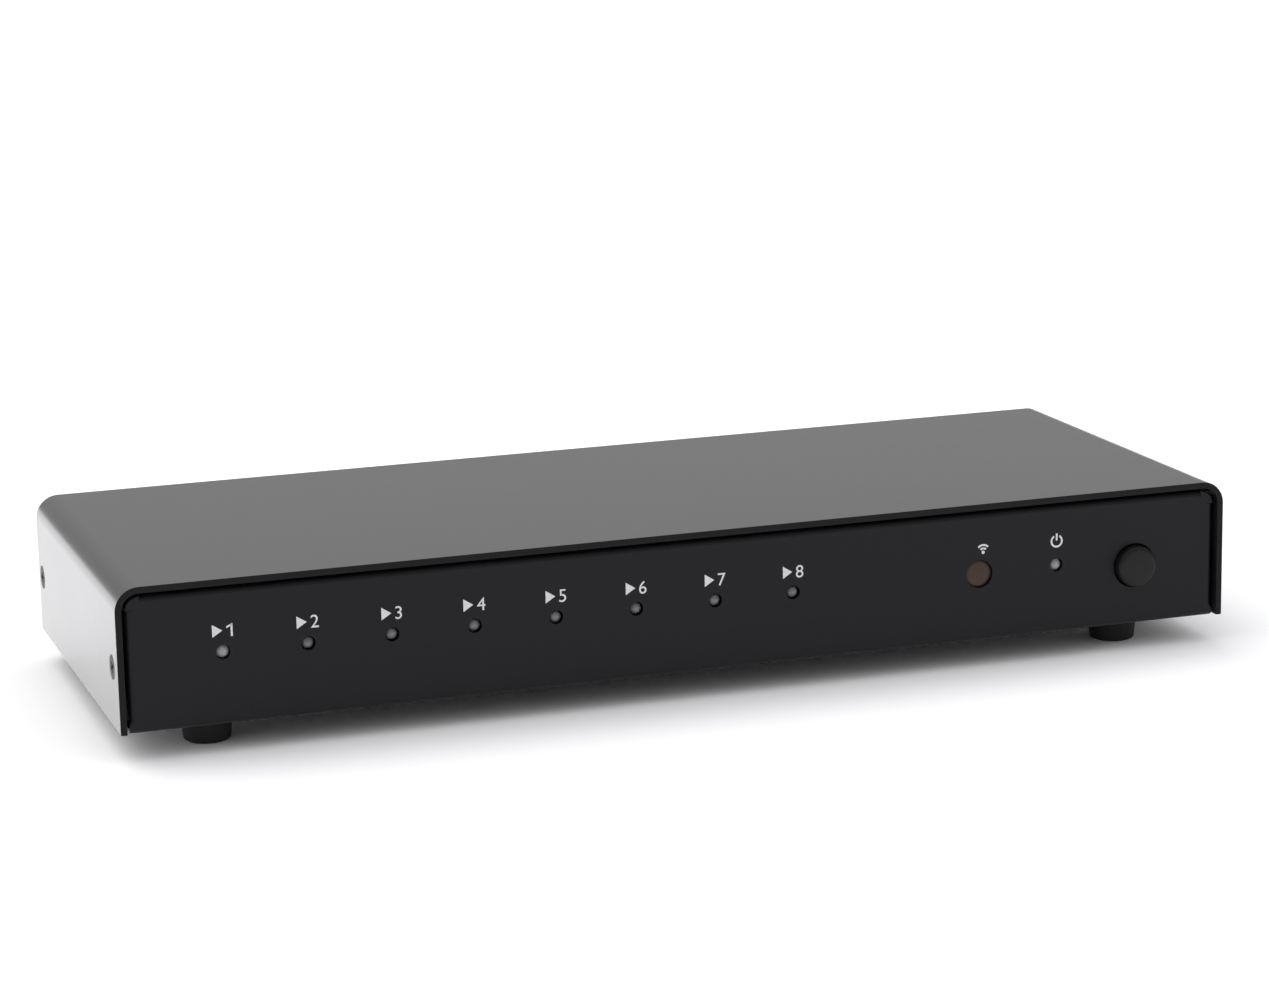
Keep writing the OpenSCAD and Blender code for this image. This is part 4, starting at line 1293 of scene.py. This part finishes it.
def flatDigit(figure, height):
    letGo()
    bpy.ops.object.text_add()
    bpy.context.object.data.body = figure
    bpy.ops.object.convert(target="MESH")
    piece = bpy.context.object
    size = height / max(vert.co.y for vert in piece.data.vertices)
    piece.data.transform(Matrix.Scale(size, 4))
    return piece


# a one with a flag, so that it doesn't read as a bar
def flatOne(look):
    stem = flatBar((0, 0), (look["stroke"], look["high"]))
    flag = flatBar((-look["flag"], look["high"] - look["stroke"]), (look["stroke"] / 2, look["high"]))
    pick(flag, "VERT", lambda v: near(v.co.x, -look["flag"]))
    bpy.ops.transform.translate(value=(0, -look["flagDrop"], 0))
    return joinUp([stem, flag])


def printMark(name, parts, x, z):
    piece = joinUp(parts)
    piece.name = name
    standUp(piece, x, z)
    mergeMesh(piece)
    applyModifier(piece, "SOLIDIFY", thickness=markLook["thick"], offset=1)
    finishPiece(piece, finishes["printInk"], "case")


def makeMarks(look):
    stroke = look["stroke"] / 2
    for i, name in enumerate(lampNames[:inputCount]):
        digit = flatDigit(str(i + 1), look["high"]) if i else flatOne(look)
        places = [vert.co.x for vert in digit.data.vertices]
        wide = max(places) - min(places)
        half = (look["arrow"] + look["gap"] + wide) / 2
        digit.data.transform(Matrix.Translation((half - max(places), -look["high"] / 2, 0)))
        arrow = flatHead(look["arrow"], look["high"] / 2)
        arrow.data.transform(Matrix.Translation((-half, 0, 0)))
        at = centreOf(name)
        printMark("mark_input_%d" % (i + 1), [arrow, digit], at.x, at.z + look["raise"])
    at = centreOf("power_lamp")
    ring = flatRing(look["ring"], look["stroke"], *look["ringTurn"])
    stemLow = (-stroke, look["ring"] * look["stemFrom"])
    stem = flatBar(stemLow, (stroke, look["ring"] * look["stemTo"]))
    printMark("mark_power", [ring, stem], at.x, at.z + look["powerRaise"])
    at = centreOf("infrared_window")
    arcs = [flatRing(radius, look["stroke"], *look["arcTurn"]) for radius in look["arcs"]]
    dot = flatRing(look["dot"] / 2, look["dot"], *look["dotTurn"])
    printMark("mark_infrared", arcs + [dot], at.x + look["eyeShift"], at.z + look["eyeRaise"])


makeMarks(markLook)
print("marks printed")


# finishes of the pieces inside, which keep their shape

insideFinishes = {
    "board_standoffs": "standoffBrass", "main_board": "boardMask", "board_screws": "screwZinc",
    "inlet_sleeve_contact": "pinNickel", "lamp_leads": "leadTin", "infrared_receiver": "receiverBlack",
    "receiver_leads": "leadTin", "switch_plunger": "plungerWhite", "switch_housing": "switchBlack",
    "switching_chips": "chipBlack", "control_chip": "chipBlack", "crystal_can": "canMetal",
    "voltage_regulator": "chipBlack", "inductor": "inductorGrey", "capacitors": "canMetal",
}
for name, finishName in insideFinishes.items():
    nodes[name].data.materials.clear()
    nodes[name].data.materials.append(finishes[finishName])
print("inside pieces finished:", len(insideFinishes))

letGo()
